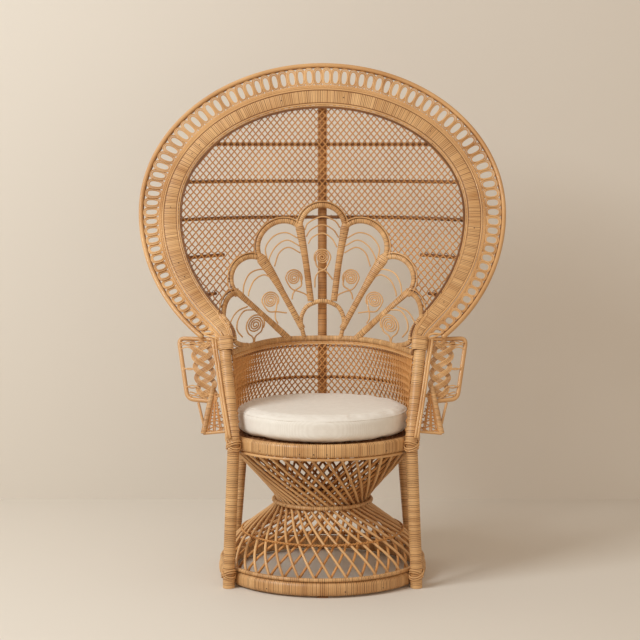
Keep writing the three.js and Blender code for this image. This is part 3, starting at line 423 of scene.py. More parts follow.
class ChairSizes(bpy.types.PropertyGroup):
    """Sizes that change the chair's weaving and wrapping"""

    reed_pitch: bpy.props.FloatProperty(
        name="Reed pitch", description="Width of one turn of reed", default=0.0052, unit="LENGTH"
    )
    cell_width: bpy.props.FloatProperty(
        name="Cell width", description="Width of one diamond of the lattice", default=0.0186, unit="LENGTH"
    )
    cell_height: bpy.props.FloatProperty(
        name="Cell height", description="Height of one diamond of the lattice", default=0.0220, unit="LENGTH"
    )
    strand: bpy.props.FloatProperty(
        name="Strand", description="Diameter of one woven strand", default=0.0039, unit="LENGTH"
    )
    base_rods: bpy.props.IntProperty(
        name="Base rods", description="Crossed rods in each layer of the base", default=40, min=3
    )
    base_rod: bpy.props.FloatProperty(
        name="Base rod", description="Diameter of a crossed rod in the base", default=0.0078, unit="LENGTH"
    )
    lace_loops: bpy.props.IntProperty(
        name="Lace loops", description="Loops in the lace border", default=86, min=3
    )
    coil_turns: bpy.props.FloatProperty(
        name="Coil turns", description="Turns of each spiral coil", default=3.0, min=1
    )
    piping: bpy.props.FloatProperty(
        name="Piping", description="Diameter of the thin rods along the bands", default=0.0055, unit="LENGTH"
    )


def colour_property(name, description, default):
    return bpy.props.FloatVectorProperty(
        name=name, description=description, default=default, subtype="COLOR", size=3, min=0, max=1
    )


class ChairColours(bpy.types.PropertyGroup):
    """Colours of the chair's finishes, as linear values"""

    cane_light: colour_property("Light cane", "The palest cane", (0.77, 0.475, 0.212))
    cane_deep: colour_property("Deep cane", "The deepest cane on the light pieces", (0.47, 0.225, 0.072))
    # Painted shade for the dark grooves between wraps of reed, not the cane's own colour
    cane_groove_shade: colour_property("Groove shade", "Cane in the grooves between wraps", (0.17, 0.062, 0.016))
    lattice_light: colour_property("Light lattice", "The palest lattice strands", (0.66, 0.325, 0.098))
    lattice_deep: colour_property("Deep lattice", "The deepest lattice strands", (0.38, 0.150, 0.036))
    dark_light: colour_property("Light brown cane", "The palest dark cane", (0.30, 0.125, 0.04))
    # The deepest dark cane, which also paints the shade in the grooves of the brown and dark wound pieces
    dark_deep_and_groove_shade: colour_property("Dark brown cane", "The deepest dark cane", (0.17, 0.066, 0.02))
    nail: colour_property("Nail", "Small dark nail heads", (0.05, 0.024, 0.012))
    linen: colour_property("Linen", "The cushion's cloth", (0.86, 0.83, 0.765))
    linen_shade: colour_property("Linen shade", "The darker threads of the cloth", (0.68, 0.63, 0.55))
    backdrop: colour_property("Backdrop", "The floor and the wall", (0.72, 0.675, 0.60))


def sizes():
    return bpy.context.scene.chair_sizes


def colours():
    return bpy.context.scene.chair_colours


# Numbers and lines
def mix(a, b, share):
    return a + (b - a) * share


def unit(vectors):
    return vectors / np.maximum(np.linalg.norm(vectors, axis=-1, keepdims=True), 1e-12)


def stacked(x, y, z):
    return np.stack(np.broadcast_arrays(np.asarray(x, float), y, z), axis=-1)


def smooth_through(points, count):
    """A smooth line through a few points"""
    points = np.array(points, float)
    points = np.vstack([2 * points[0] - points[1], points, 2 * points[-1] - points[-2]])
    spans = len(points) - 3
    at = np.linspace(0, spans, count)
    index = np.minimum(at.astype(int), spans - 1)
    t = (at - index)[:, None]
    p0, p1, p2, p3 = (points[index + k] for k in range(4))
    turn = (p2 - p0) * t + (2 * p0 - 5 * p1 + 4 * p2 - p3) * t**2
    return 0.5 * (2 * p1 + turn + (3 * p1 - p0 - 3 * p2 + p3) * t**3)


def evenly(points, count):
    """The same line with its points at equal spacing"""
    reach = np.concatenate([[0], np.cumsum(np.linalg.norm(np.diff(points, axis=0), axis=1))])
    at = np.linspace(0, reach[-1], count)
    return np.stack([np.interp(at, reach, points[:, k]) for k in range(points.shape[1])], axis=-1)


def length_of(points):
    return float(np.linalg.norm(np.diff(points, axis=0), axis=1).sum())


def averaged(values, mode):
    """Values averaged with their neighbours, on a closed line (wrap) or an open one (edge)"""
    reach = 4
    window = 2 * reach + 1
    return np.convolve(np.pad(values, reach, mode=mode), np.ones(window) / window, mode="valid")


def read_line(rows, values, at):
    """Values along a line, read at places between its rows"""
    return np.stack([np.interp(at, rows, values[:, k]) for k in range(3)], axis=-1)


# The chair's surfaces
def stand_radius(z, width):
    share = np.clip((z - BASE_HIGH.z) / (SEAT_HIGH.z - BASE_HIGH.z), 0, 1)
    return mix(BASE_RADIUS, SEAT_RADIUS, share) + width / 2 + POST_CLEARANCE


def post_point(side, z):
    z = np.asarray(z, float)
    radius = stand_radius(z, POST_WIDTH)
    share = np.clip((z - SEAT_HIGH.z) / (SHOULDER_Z - SEAT_HIGH.z), 0, None)
    x = mix(radius * math.sin(POST_AZIMUTH), SHOULDER_X, share)
    y = mix(AXIS_Y - radius * math.cos(POST_AZIMUTH), SHOULDER_Y, share)
    return stacked(side * x, y, z)


def leg_point(side, z):
    radius = stand_radius(z, LEG_WIDTH) - LEG_PRESS
    azimuth = mix(LEG_FOOT_AZIMUTH, LEG_SEAT_AZIMUTH, z / SEAT_HIGH.z)
    return stacked(side * radius * np.sin(azimuth), AXIS_Y + radius * np.cos(azimuth), z)


def spine_y(z):
    foot = AXIS_Y + SEAT_RADIUS + SPINE_WIDTH / 2 + POST_CLEARANCE
    return foot + SPINE_LEAN_SHARE * (z - SEAT_LOW.z)


def hoop_y(z):
    z = np.asarray(z, float)
    share = (z - SHOULDER_Z) / (FAN_TOP - SHOULDER_Z)
    bend = 1 - (1 - share) ** 2
    high = SHOULDER_Y + FAN_LEAN * (STRAIGHT_LEAN_SHARE * share + (1 - STRAIGHT_LEAN_SHARE) * bend)
    return np.where(z < SHOULDER_Z, post_point(1, z)[..., 1], high)


def oval_at(share):
    """The oval at the lattice's edge (0), the band's outer edge (1) or the rim's middle (2)"""
    inner = min(share, 1)
    outer = max(share - 1, 0)
    return [a + inner * b + outer * c for a, b, c in zip(LATTICE_OVAL, BAND_STEP, LACE_STEP)]


def half_width(oval, z):
    side, mid, rise, drop, neck = oval
    share = np.minimum(np.abs(z - mid) / np.where(z > mid, rise, drop), 1)
    free = side * np.sqrt(1 - share**2)
    low = (free**NECK_SHARPNESS + max(neck, 0) ** NECK_SHARPNESS) ** (1 / NECK_SHARPNESS)
    return np.where(z > mid, free, low)


def on_hoop(x, z):
    return stacked(x, hoop_y(z), z)


def on_dish(x, z):
    edge = hoop_y(z)
    depth = np.maximum(spine_y(z) - SHEET_STANDOFF - edge, 0)
    width = np.maximum(half_width(LATTICE_OVAL, z), FIT)
    share = np.minimum(np.abs(x) / width, 1)
    return stacked(x, edge + depth * (1 - share**DISH_SHARPNESS), z)


def facing_of(surface, x, z):
    """The way a surface faces, towards the front"""
    step = 0.001
    right = surface(x + step, z) - surface(x - step, z)
    up = surface(x, z + step) - surface(x, z - step)
    return unit(np.cross(right, up))


class Path:
    """A line of points with the way its front faces at each one"""

    def __init__(self, points, facing, closed=False):
        self.points = np.asarray(points, float)
        self.facing = np.broadcast_to(np.asarray(facing, float), self.points.shape).copy()
        self.closed = closed

    def length(self):
        return length_of(np.vstack([self.points, self.points[:1]]) if self.closed else self.points)

    def along(self):
        if self.closed:
            return unit(np.roll(self.points, -1, axis=0) - np.roll(self.points, 1, axis=0))
        return unit(np.gradient(self.points, axis=0))

    def beside(self, across=0.0, forward=0.0):
        """The line moved across its front and forwards"""
        side = unit(np.cross(self.facing, self.along()))
        front = np.cross(self.along(), side)
        return Path(self.points + side * across + front * forward, self.facing, self.closed)


def surface_path(surface, x, z, forward=0.0):
    facing = facing_of(surface, x, z)
    return Path(surface(x, z) + facing * forward, facing)


def oval_path(share, outward=0.0, forward=0.0, count=OVAL_COUNT):
    """An oval from the right shoulder over the top to the left one, moved square to its line"""
    oval = oval_at(share)
    mid, rise, drop = oval[1:4]
    end = math.asin((mid - SHOULDER_Z) / drop)
    angle = np.linspace(-end, math.pi + end, 4 * count)
    z = mid + np.sin(angle) * np.where(np.sin(angle) > 0, rise, drop)
    x = np.sign(np.cos(angle)) * half_width(oval, z)
    line = evenly(np.stack([x, z], axis=-1), count)
    turn = unit(np.gradient(line, axis=0))
    x = line[:, 0] + turn[:, 1] * outward
    z = line[:, 1] - turn[:, 0] * outward
    return surface_path(on_hoop, x, z, forward)


def ring_angles(count):
    return np.linspace(0, 2 * math.pi, count, endpoint=False)


def ring_path(radius, z, count=120):
    outwards = stacked(np.sin(ring_angles(count)), -np.cos(ring_angles(count)), 0)
    return Path(outwards * radius + np.array([0, AXIS_Y, z]), outwards, closed=True)


# Making objects
def deselect():
    if bpy.context.object and bpy.context.object.mode != "OBJECT":
        bpy.ops.object.mode_set(mode="OBJECT")
    bpy.ops.object.select_all(action="DESELECT")


def choose(piece):
    deselect()
    piece.select_set(True)
    bpy.context.view_layer.objects.active = piece


def apply_modifier(piece, kind, **settings):
    modifier = piece.modifiers.new(kind.title(), kind)
    for name, value in settings.items():
        setattr(modifier, name, value)
    choose(piece)
    bpy.ops.object.modifier_apply(modifier=modifier.name)


def edit_where(piece, kind, test):
    """Opens a piece in edit mode with the vertices, edges or faces that pass a test selected"""
    choose(piece)
    bpy.ops.object.mode_set(mode="EDIT")
    bpy.ops.mesh.select_mode(type=kind)
    bpy.ops.mesh.select_all(action="DESELECT")
    bpy.ops.object.mode_set(mode="OBJECT")
    items = {"VERT": piece.data.vertices, "EDGE": piece.data.edges, "FACE": piece.data.polygons}[kind]
    for item in items:
        item.select = test(item)
    bpy.ops.object.mode_set(mode="EDIT")


def edit_all(piece):
    choose(piece)
    bpy.ops.object.mode_set(mode="EDIT")
    bpy.ops.mesh.select_all(action="SELECT")


def places_of(mesh):
    co = np.zeros(len(mesh.vertices) * 3)
    mesh.vertices.foreach_get("co", co)
    return co.reshape(-1, 3)


def set_places(mesh, co):
    mesh.vertices.foreach_set("co", np.asarray(co, np.float32).ravel())
    mesh.update()


def set_values(mesh, name, values):
    attribute = mesh.attributes.get(name) or mesh.attributes.new(name, "FLOAT", "POINT")
    attribute.data.foreach_set("value", np.asarray(values, np.float32))


def smooth(piece):
    piece.data.polygons.foreach_set("use_smooth", np.ones(len(piece.data.polygons), bool))


def settle(piece, gap=MERGE_GAP):
    """Places a piece at the origin, closes its seams and turns its faces out"""
    choose(piece)
    bpy.ops.object.transform_apply(location=True, rotation=True, scale=True)
    edit_all(piece)
    bpy.ops.mesh.remove_doubles(threshold=gap)
    bpy.ops.mesh.normals_make_consistent(inside=False)
    bpy.ops.object.mode_set(mode="OBJECT")


def finished(piece, name, material, replaced=(), body=CHAIR):
    """Names a piece, gives it its finish and ties it to its body"""
    piece.name = name
    piece.data.name = name
    piece.data.materials.clear()
    piece.data.materials.append(material)
    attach(piece, body)
    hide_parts(*replaced)
    return piece


def poly_spline(data, points, closed):
    spline = data.splines.new("POLY")
    spline.points.add(len(points) - 1)
    spline.points.foreach_set("co", np.column_stack([points, np.ones(len(points))]).ravel())
    spline.use_cyclic_u = closed
    return spline


def guide_curve(path, turn):
    """The path as a curve whose sections face along its tilt"""
    points = path.points @ turn.T
    facing = path.facing @ turn.T
    along = Path(points, facing, path.closed).along()
    side = unit(np.cross(np.array([0, 0, 1.0]), along))
    lifted = np.cross(along, side)
    front = facing - along * np.sum(facing * along, axis=1, keepdims=True)
    tilt = np.arctan2(-np.sum(front * side, axis=1), np.sum(front * lifted, axis=1))
    data = bpy.data.curves.new("Guide", "CURVE")
    data.dimensions = "3D"
    data.twist_mode = "Z_UP"
    data.use_stretch = True
    data.use_deform_bounds = True
    spline = poly_spline(data, points, path.closed)
    spline.points.foreach_set("tilt", np.unwrap(tilt))
    guide = bpy.data.objects.new("Guide", data)
    bpy.context.scene.collection.objects.link(guide)
    return guide


def level_turn(path):
    """The turn that brings the way a path faces to straight up"""
    mean = path.facing.mean(axis=0)
    faces_all_ways = np.linalg.norm(mean) < 0.3
    if faces_all_ways:
        return np.eye(3)
    turn = Vector(mean).rotation_difference(Vector((0, 0, 1)))
    return np.array(turn.to_matrix())


def lay_along(piece, path):
    """Bends a straight upright piece along a path"""
    turn = level_turn(path)
    guide = guide_curve(path, turn)
    apply_modifier(piece, "CURVE", object=guide, deform_axis="POS_Z")
    curve = guide.data
    bpy.data.objects.remove(guide)
    bpy.data.curves.remove(curve)
    piece.data.transform(Matrix(turn.T.tolist()).to_4x4())


def flat_tube(width, depth, height, rounding, segments):
    """An open box with rounded upright edges"""
    deselect()
    bpy.ops.mesh.primitive_cube_add(size=1, location=(0, 0, height / 2), scale=(width, depth, height))
    piece = bpy.context.object
    bpy.ops.object.transform_apply(location=True, rotation=True, scale=True)
    edit_where(piece, "FACE", lambda face: abs(face.normal.z) > 0.5)
    bpy.ops.mesh.delete(type="ONLY_FACE")
    bpy.ops.object.mode_set(mode="OBJECT")
    places = places_of(piece.data)
    edit_where(piece, "EDGE", lambda edge: abs(np.diff(places[list(edge.vertices), 2])[0]) > height / 2)
    bpy.ops.mesh.bevel(offset=rounding, segments=segments, profile=0.5, affect="EDGES")
    bpy.ops.object.mode_set(mode="OBJECT")
    return piece


def round_tube(width, depth, height, sides):
    deselect()
    bpy.ops.mesh.primitive_cylinder_add(
        vertices=sides, radius=0.5, depth=height, end_fill_type="NOTHING", location=(0, 0, height / 2),
        scale=(width, depth, 1),
    )
    piece = bpy.context.object
    bpy.ops.object.transform_apply(location=True, rotation=True, scale=True)
    return piece


def wrap_unit(width, depth, pitch, swell, sides, flat):
    """One turn of reed, drawn in at both edges: round, or flat with rounded edges"""
    narrow = (width - 2 * swell, depth - 2 * swell)
    if flat:
        piece = flat_tube(*narrow, pitch, min(narrow) * flat, sides)
    else:
        piece = round_tube(*narrow, pitch, sides)
    edit_all(piece)
    bpy.ops.mesh.bisect(plane_co=(0, 0, pitch / 2), plane_no=(0, 0, 1))
    edit_where(piece, "VERT", lambda vertex: abs(vertex.co.z - pitch / 2) < pitch / 8)
    bpy.ops.transform.resize(value=(width / narrow[0], depth / narrow[1], 1))
    bpy.ops.object.mode_set(mode="OBJECT")
    return piece


def wrapped(name, path, width, depth, material, replaced=(), sides=14, flat=0.0, taper=None,
            swell=REED_SWELL, pitch=None, seed=2):
    """A pole wound with reed along a path; a taper holds shares of its length and of its width"""
    length = path.length()
    wraps = max(round(length / (pitch or sizes().reed_pitch)), 4)
    pitch = length / wraps
    piece = wrap_unit(width, depth, pitch, swell, sides, flat)
    apply_modifier(
        piece, "ARRAY", count=wraps, use_relative_offset=False, use_constant_offset=True,
        constant_offset_displace=(0, 0, pitch), use_merge_vertices=True, merge_threshold=pitch / 8,
    )
    mesh = piece.data
    co = places_of(mesh)
    chance = np.random.default_rng(seed)
    turn = np.clip(np.floor(co[:, 2] / pitch - 1e-3).astype(int), 0, wraps - 1)
    patches = np.interp(np.arange(wraps) / WRAPS_PER_PATCH, np.arange(wraps), chance.random(wraps))
    set_values(mesh, "tone", mix(chance.random(wraps), patches, PATCH_SHARE)[turn])
    # crest is 1 on each turn of reed and low at the grooves between turns, where the groove colour paints
    # shade; each groove gets its own depth of painted shade
    edge = np.round(co[:, 2] / pitch * 2).astype(int)
    openness = chance.random(2 * wraps + 1) ** GROOVE_SHADE_POWER * GROOVE_SHADE_EVENNESS
    set_values(mesh, "crest", np.where(edge % 2, 1, openness[edge]))
    shift = chance.uniform(-REED_SHIFT_SHARE, REED_SHIFT_SHARE, 2 * wraps + 1) * pitch
    shift[[0, -1]] = 0
    spread = chance.uniform(-REED_SWELL_SHARE, REED_SWELL_SHARE, 2 * wraps + 1)
    swollen = 1 + spread * swell / min(width, depth)
    co[:, 2] += shift[edge]
    co[:, :2] *= swollen[edge][:, None]
    if taper is not None:
        co[:, 0] *= np.interp(co[:, 2] / length, *taper)
    set_places(mesh, co)
    if not path.closed:
        edit_all(piece)
        bpy.ops.mesh.fill_holes(sides=0)
        bpy.ops.object.mode_set(mode="OBJECT")
    smooth(piece)
    lay_along(piece, path)
    settle(piece, pitch / 6 if path.closed else MERGE_GAP)
    return finished(piece, name, material, replaced)


def rounded_ends(points):
    """Adds a point past each end, where the rod draws in to nothing and closes"""
    step = 0.0006
    start = points[0] + unit(points[0] - points[1]) * step
    end = points[-1] + unit(points[-1] - points[-2]) * step
    thick = np.ones(len(points) + 2)
    thick[[0, -1]] = 0
    return np.vstack([start, points, end]), thick


def rods(name, lines, diameter, material, replaced=(), sides=6, closed=False, body=CHAIR,
         seed=3):
    """One piece of many round rods, each drawn along its own line"""
    data = bpy.data.curves.new(name, "CURVE")
    data.dimensions = "3D"
    data.bevel_depth = diameter / 2
    data.bevel_resolution = (sides - 4) // 2
    counts = []
    for line in lines:
        points, thick = (line, np.ones(len(line))) if closed else rounded_ends(line)
        spline = poly_spline(data, points, closed)
        spline.points.foreach_set("radius", thick)
        counts.append(len(points) * sides)
    piece = bpy.data.objects.new(name, data)
    bpy.context.scene.collection.objects.link(piece)
    choose(piece)
    bpy.ops.object.convert(target="MESH")
    piece = bpy.context.object
    if len(piece.data.vertices) != sum(counts):
        raise RuntimeError(f"{name}: {len(piece.data.vertices)} vertices in place of {sum(counts)}")
    set_values(piece.data, "tone", np.repeat(np.random.default_rng(seed).random(len(counts)), counts))
    set_values(piece.data, "crest", np.ones(sum(counts)))
    smooth(piece)
    settle(piece)
    return finished(piece, name, material, replaced, body)


# Shading
def add_node(tree, kind, **values):
    node = tree.nodes.new(kind)
    for name, value in values.items():
        if name in node.inputs:
            node.inputs[name].default_value = value
        else:
            setattr(node, name, value)
    return node


def put(tree, socket, value):
    """Links a socket to another one, or sets its value"""
    if isinstance(value, bpy.types.NodeSocket):
        tree.links.new(value, socket)
    else:
        socket.default_value = value


def math_node(tree, operation, first, second, clamped=False):
    node = tree.nodes.new("ShaderNodeMath")
    node.operation = operation
    node.use_clamp = clamped
    put(tree, node.inputs[0], first)
    put(tree, node.inputs[1], second)
    return node.outputs[0]


def mix_colour(tree, share, low, high):
    node = tree.nodes.new("ShaderNodeMix")
    node.data_type = "RGBA"
    put(tree, node.inputs[0], share)
    put(tree, node.inputs[6], low)
    put(tree, node.inputs[7], high)
    return node.outputs[2]


def new_group(name, inputs, outputs):
    tree = bpy.data.node_groups.new(name, "ShaderNodeTree")
    for label, kind, value in inputs:
        socket = tree.interface.new_socket(label, in_out="INPUT", socket_type=kind)
        socket.default_value = value
    for label, kind in outputs:
        tree.interface.new_socket(label, in_out="OUTPUT", socket_type=kind)
    return tree, tree.nodes.new("NodeGroupInput").outputs, tree.nodes.new("NodeGroupOutput").inputs


FLOAT = "NodeSocketFloat"
COLOUR = "NodeSocketColor"
GREY = (0.5, 0.5, 0.5, 1)


def grain_group():
    """Fine fibres and broad stains over any piece"""
    if "Cane grain" in bpy.data.node_groups:
        return bpy.data.node_groups["Cane grain"]
    tree, given, out = new_group(
        "Cane grain", [("Fibre scale", FLOAT, 500.0), ("Stain scale", FLOAT, 7.0)],
        [("Fibre", FLOAT), ("Stain", FLOAT)],
    )
    coordinates = tree.nodes.new("ShaderNodeTexCoord").outputs["Object"]
    for label, detail in (("Fibre", 3.0), ("Stain", 2.0)):
        noise = add_node(tree, "ShaderNodeTexNoise", Detail=detail)
        tree.links.new(coordinates, noise.inputs["Vector"])
        tree.links.new(given[f"{label} scale"], noise.inputs["Scale"])
        spread = add_node(tree, "ShaderNodeMapRange", **{"From Min": 0.3, "From Max": 0.7})
        tree.links.new(noise.outputs["Fac"], spread.inputs["Value"])
        tree.links.new(spread.outputs["Result"], out[label])
    return tree


def cane_group():
    """Colour, roughness and relief of cane, from each strand's tone, with painted shade in the grooves
    between wraps
    """
    if "Cane shade" in bpy.data.node_groups:
        return bpy.data.node_groups["Cane shade"]
    tree, given, out = new_group(
        "Cane shade",
        [("Light", COLOUR, GREY), ("Deep", COLOUR, GREY), ("Groove shade", COLOUR, GREY),
         ("Tone", FLOAT, 0.5), ("Stain", FLOAT, 0.4), ("Fibre", FLOAT, 0.2)],
        [("Color", COLOUR), ("Roughness", FLOAT), ("Height", FLOAT)],
    )
    grain = tree.nodes.new("ShaderNodeGroup")
    grain.node_tree = grain_group()
    tone = add_node(tree, "ShaderNodeAttribute", attribute_name="tone").outputs["Fac"]
    crest = add_node(tree, "ShaderNodeAttribute", attribute_name="crest").outputs["Fac"]
    stain, fibre = grain.outputs["Stain"], grain.outputs["Fibre"]
    share = CANE_PALENESS
    for amount, source in (("Tone", tone), ("Stain", stain), ("Fibre", fibre)):
        centred = math_node(tree, "SUBTRACT", source, 0.5)
        share = math_node(tree, "ADD", math_node(tree, "MULTIPLY", centred, given[amount]), share)
    share = math_node(tree, "MULTIPLY", share, 1.0, clamped=True)
    base = mix_colour(tree, share, given["Deep"], given["Light"])
    # The crest mask mixes in the painted shade of the grooves between wraps
    shown = math_node(tree, "MULTIPLY", crest, CREST_GAIN, clamped=True)
    tree.links.new(mix_colour(tree, shown, given["Groove shade"], base), out["Color"])
    rough = math_node(tree, "MULTIPLY", stain, CANE_ROUGHNESS_SPREAD)
    tree.links.new(math_node(tree, "ADD", rough, CANE_ROUGHNESS), out["Roughness"])
    tree.links.new(fibre, out["Height"])
    return tree


def surface_material(name, group, settings, bump=0.15, bump_depth=0.0004, coat=0.0):
    """A material whose colour, roughness and relief come from one node group"""
    if name in bpy.data.materials:
        return bpy.data.materials[name]
    material = bpy.data.materials.new(name)
    material.use_nodes = True
    tree = material.node_tree
    shader = tree.nodes["Principled BSDF"]
    shade = tree.nodes.new("ShaderNodeGroup")
    shade.node_tree = group
    for label, value in settings.items():
        shade.inputs[label].default_value = value
    tree.links.new(shade.outputs["Color"], shader.inputs["Base Color"])
    tree.links.new(shade.outputs["Roughness"], shader.inputs["Roughness"])
    relief = add_node(tree, "ShaderNodeBump", Strength=bump, Distance=bump_depth)
    tree.links.new(shade.outputs["Height"], relief.inputs["Height"])
    tree.links.new(relief.outputs["Normal"], shader.inputs["Normal"])
    shader.inputs["Coat Weight"].default_value = coat
    return material


def rgba(colour):
    return (*colour, 1)


def cane_material(name, palette, tone, stain, coat=0.0):
    """A cane finish from its light and deep colours and its painted groove shade, and how far strands and
    stains vary it
    """
    light, deep, groove_shade = (rgba(colour) for colour in palette)
    settings = {"Light": light, "Deep": deep, "Groove shade": groove_shade, "Tone": tone, "Stain": stain, "Fibre": 0.3}
    return surface_material(name, cane_group(), settings, coat=coat)


def light_palette():
    shades = colours()
    return shades.cane_light, shades.cane_deep, shades.cane_groove_shade


def wound_cane():
    return cane_material("Wound cane", light_palette(), tone=0.8, stain=0.5, coat=0.05)


def woven_cane():
    return cane_material("Woven cane", light_palette(), tone=0.6, stain=0.7)


def plain_pole():
    return cane_material("Plain pole", light_palette(), tone=0.3, stain=0.6, coat=0.2)


def lattice_cane():
    shades = colours()
    palette = (shades.lattice_light, shades.lattice_deep, shades.cane_groove_shade)
    return cane_material("Lattice cane", palette, tone=0.35, stain=0.5)


def brown_wound():
    shades = colours()
    # The deepest dark cane paints the shade in this cane's grooves
    palette = (shades.lattice_light, shades.dark_light, shades.dark_deep_and_groove_shade)
    return cane_material("Brown wound cane", palette, tone=0.5, stain=0.5)


def dark_cane():
    shades = colours()
    # The deepest dark cane is both this cane's own deepest tone and the painted shade in its grooves
    palette = (shades.dark_light, shades.dark_deep_and_groove_shade, shades.dark_deep_and_groove_shade)
    return cane_material("Dark cane", palette, tone=0.5, stain=0.6)


def nail_head():
    return cane_material("Nail head", [colours().nail] * 3, tone=0, stain=0)


def linen_group():
    """A plain weave of slubbed threads in crossing directions"""
    if "Linen weave" in bpy.data.node_groups:
        return bpy.data.node_groups["Linen weave"]
    tree, given, out = new_group(
        "Linen weave", [("Light", COLOUR, GREY), ("Shade", COLOUR, GREY), ("Threads", FLOAT, 110.0)],
        [("Color", COLOUR), ("Roughness", FLOAT), ("Height", FLOAT)],
    )
    coordinates = tree.nodes.new("ShaderNodeTexCoord").outputs["Object"]
    total = 0.0
    for direction in ("X", "Y", "Z"):
        wave = add_node(tree, "ShaderNodeTexWave", bands_direction=direction, Distortion=1.4)
        tree.links.new(coordinates, wave.inputs["Vector"])
        tree.links.new(given["Threads"], wave.inputs["Scale"])
        total = math_node(tree, "ADD", wave.outputs["Fac"], total)
    weave = math_node(tree, "DIVIDE", total, 3.0)
    slub = add_node(tree, "ShaderNodeTexNoise", Scale=60.0, Detail=4.0)
    tree.links.new(coordinates, slub.inputs["Vector"])
    share = math_node(tree, "ADD", weave, slub.outputs["Fac"])
    share = math_node(tree, "MULTIPLY", share, LINEN_PALENESS, clamped=True)
    tree.links.new(mix_colour(tree, share, given["Shade"], given["Light"]), out["Color"])
    rough = math_node(tree, "MULTIPLY", weave, LINEN_ROUGHNESS_SPREAD)
    tree.links.new(math_node(tree, "ADD", rough, LINEN_ROUGHNESS), out["Roughness"])
    tree.links.new(weave, out["Height"])
    return tree


def linen_cloth():
    shades = colours()
    settings = {"Light": rgba(shades.linen), "Shade": rgba(shades.linen_shade)}
    return surface_material("Linen", linen_group(), settings, bump=0.25, bump_depth=0.0005)


# Base
def smooth_share(share):
    k = WAIST_SHARPNESS_SHARE
    return (np.hypot(k, share) - k) / (math.hypot(k, 1) - k)


def cross_radius(z):
    above = smooth_share(np.clip((z - WAIST_Z) / (CROSS_TOP - WAIST_Z), 0, 1))
    below = smooth_share(np.clip((WAIST_Z - z) / (WAIST_Z - CROSS_BOTTOM), 0, 1))
    high = mix(WAIST_RODS_RADIUS, CROSS_SEAT_RADIUS, above)
    low = mix(WAIST_RODS_RADIUS, CROSS_BASE_RADIUS, np.sin(below * math.pi / 2))
    return np.where(z >= WAIST_Z, high, low)


def straight_turn(share, radius, twist):
    """How far a straight rod has turned on its way from the waist to a wider ring"""
    share = np.clip(share, 0, 1)
    across = share * radius * math.sin(twist)
    return np.arctan2(across, mix(WAIST_RODS_RADIUS, radius * math.cos(twist), share))


def cross_azimuth(z):
    above = straight_turn((z - WAIST_Z) / (CROSS_TOP - WAIST_Z), CROSS_SEAT_RADIUS, UPPER_TWIST)
    below = straight_turn((WAIST_Z - z) / (WAIST_Z - CROSS_BOTTOM), CROSS_BASE_RADIUS, LOWER_TWIST)
    return np.where(z >= WAIST_Z, -above, below)


def crossed_lines(inward, lean):
    """One layer of crossed rods round the base"""
    z = np.linspace(CROSS_BOTTOM, CROSS_TOP, 36)
    slope = np.gradient(cross_radius(z), z)
    steepness = np.hypot(1, slope)
    radius = cross_radius(z) - inward / steepness
    height = np.clip(z + inward * slope / steepness, CROSS_BOTTOM, CROSS_TOP)
    lines = []
    for start in ring_angles(sizes().base_rods):
        angle = start + lean * cross_azimuth(z)
        lines.append(stacked(radius * np.sin(angle), AXIS_Y - radius * np.cos(angle), height))
    return lines


def twined_ring(radius, z, strand, twists):
    """Two strands twisted round each other in a ring"""
    angle = ring_angles(twists * 8)
    lines = []
    for start in (0, math.pi):
        turn = angle * twists + start
        reach = radius + strand / 2 * np.cos(turn)
        level = z + strand / 2 * np.sin(turn)
        lines.append(stacked(reach * np.sin(angle), AXIS_Y - reach * np.cos(angle), level))
    return lines


def make_base():
    make_crossed_rods()
    make_base_rings()
    for name in ("front_glide", "rear_glide"):
        make_glide(name)


def make_crossed_rods():
    """The wound band on the floor, and the two layers of rods that rise from it"""
    path = ring_path(BASE_RADIUS - BASE_BAND_WALL / 2, (BASE_LOW.z + BASE_HIGH.z) / 2, BAND_COUNT)
    wrapped(
        "base_band_wound", path, BASE_HIGH.z - BASE_LOW.z, BASE_BAND_WALL, wound_cane(),
        replaced=["base_band"], sides=4, flat=BAND_EDGE_SHARE, seed=11,
    )
    thick = sizes().base_rod
    outer, inner = crossed_lines(0, 1), crossed_lines(CROSS_SPACING, -1)
    rods("outer_rods", outer, thick, plain_pole(), replaced=["outer_cage"], sides=8, seed=12)
    rods("inner_rods", inner, thick, lattice_cane(), replaced=["inner_cage"], sides=8, seed=13)


def make_base_rings():
    """The rings that hold the rods: above the floor band, at the ties, at the waist and under the seat"""
    base_ring = ring_path(BASE_RADIUS - BASE_RING_INSET, BASE_HIGH.z + BASE_RING_ROD / 2 + FIT)
    wrapped(
        "base_ring_wound", base_ring, BASE_RING_ROD, BASE_RING_ROD, wound_cane(),
        replaced=["outer_cage"], sides=10, seed=14,
    )
    seat_ring = ring_path(SEAT_RADIUS - SEAT_RING_INSET, SEAT_LOW.z - HOOP_ROD / 2 - FIT)
    rods(
        "seat_ring", [seat_ring.points], HOOP_ROD, plain_pole(),
        replaced=["outer_cage"], sides=8, closed=True,
    )
    wrapped(
        "waist_ring_wound", ring_path(WAIST_RING_RADIUS, WAIST_Z), WAIST_ROD, WAIST_ROD, wound_cane(),
        replaced=["waist_ring"], sides=12, seed=15,
    )
    inner_hoop = ring_path(WAIST_RODS_RADIUS - CROSS_SPACING - INNER_HOOP_INSET, WAIST_Z)
    rods(
        "inner_hoop", [inner_hoop.points], HOOP_ROD, dark_cane(),
        replaced=["inner_cage"], sides=8, closed=True,
    )
    tie_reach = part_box("tie_hoop")[1].x - TIE_INSET
    rods(
        "tie_hoop_twined", twined_ring(tie_reach, TIE_Z, TIE_STRAND, TIE_TWISTS), TIE_STRAND, lattice_cane(),
        replaced=["tie_hoop"], closed=True, seed=16,
    )


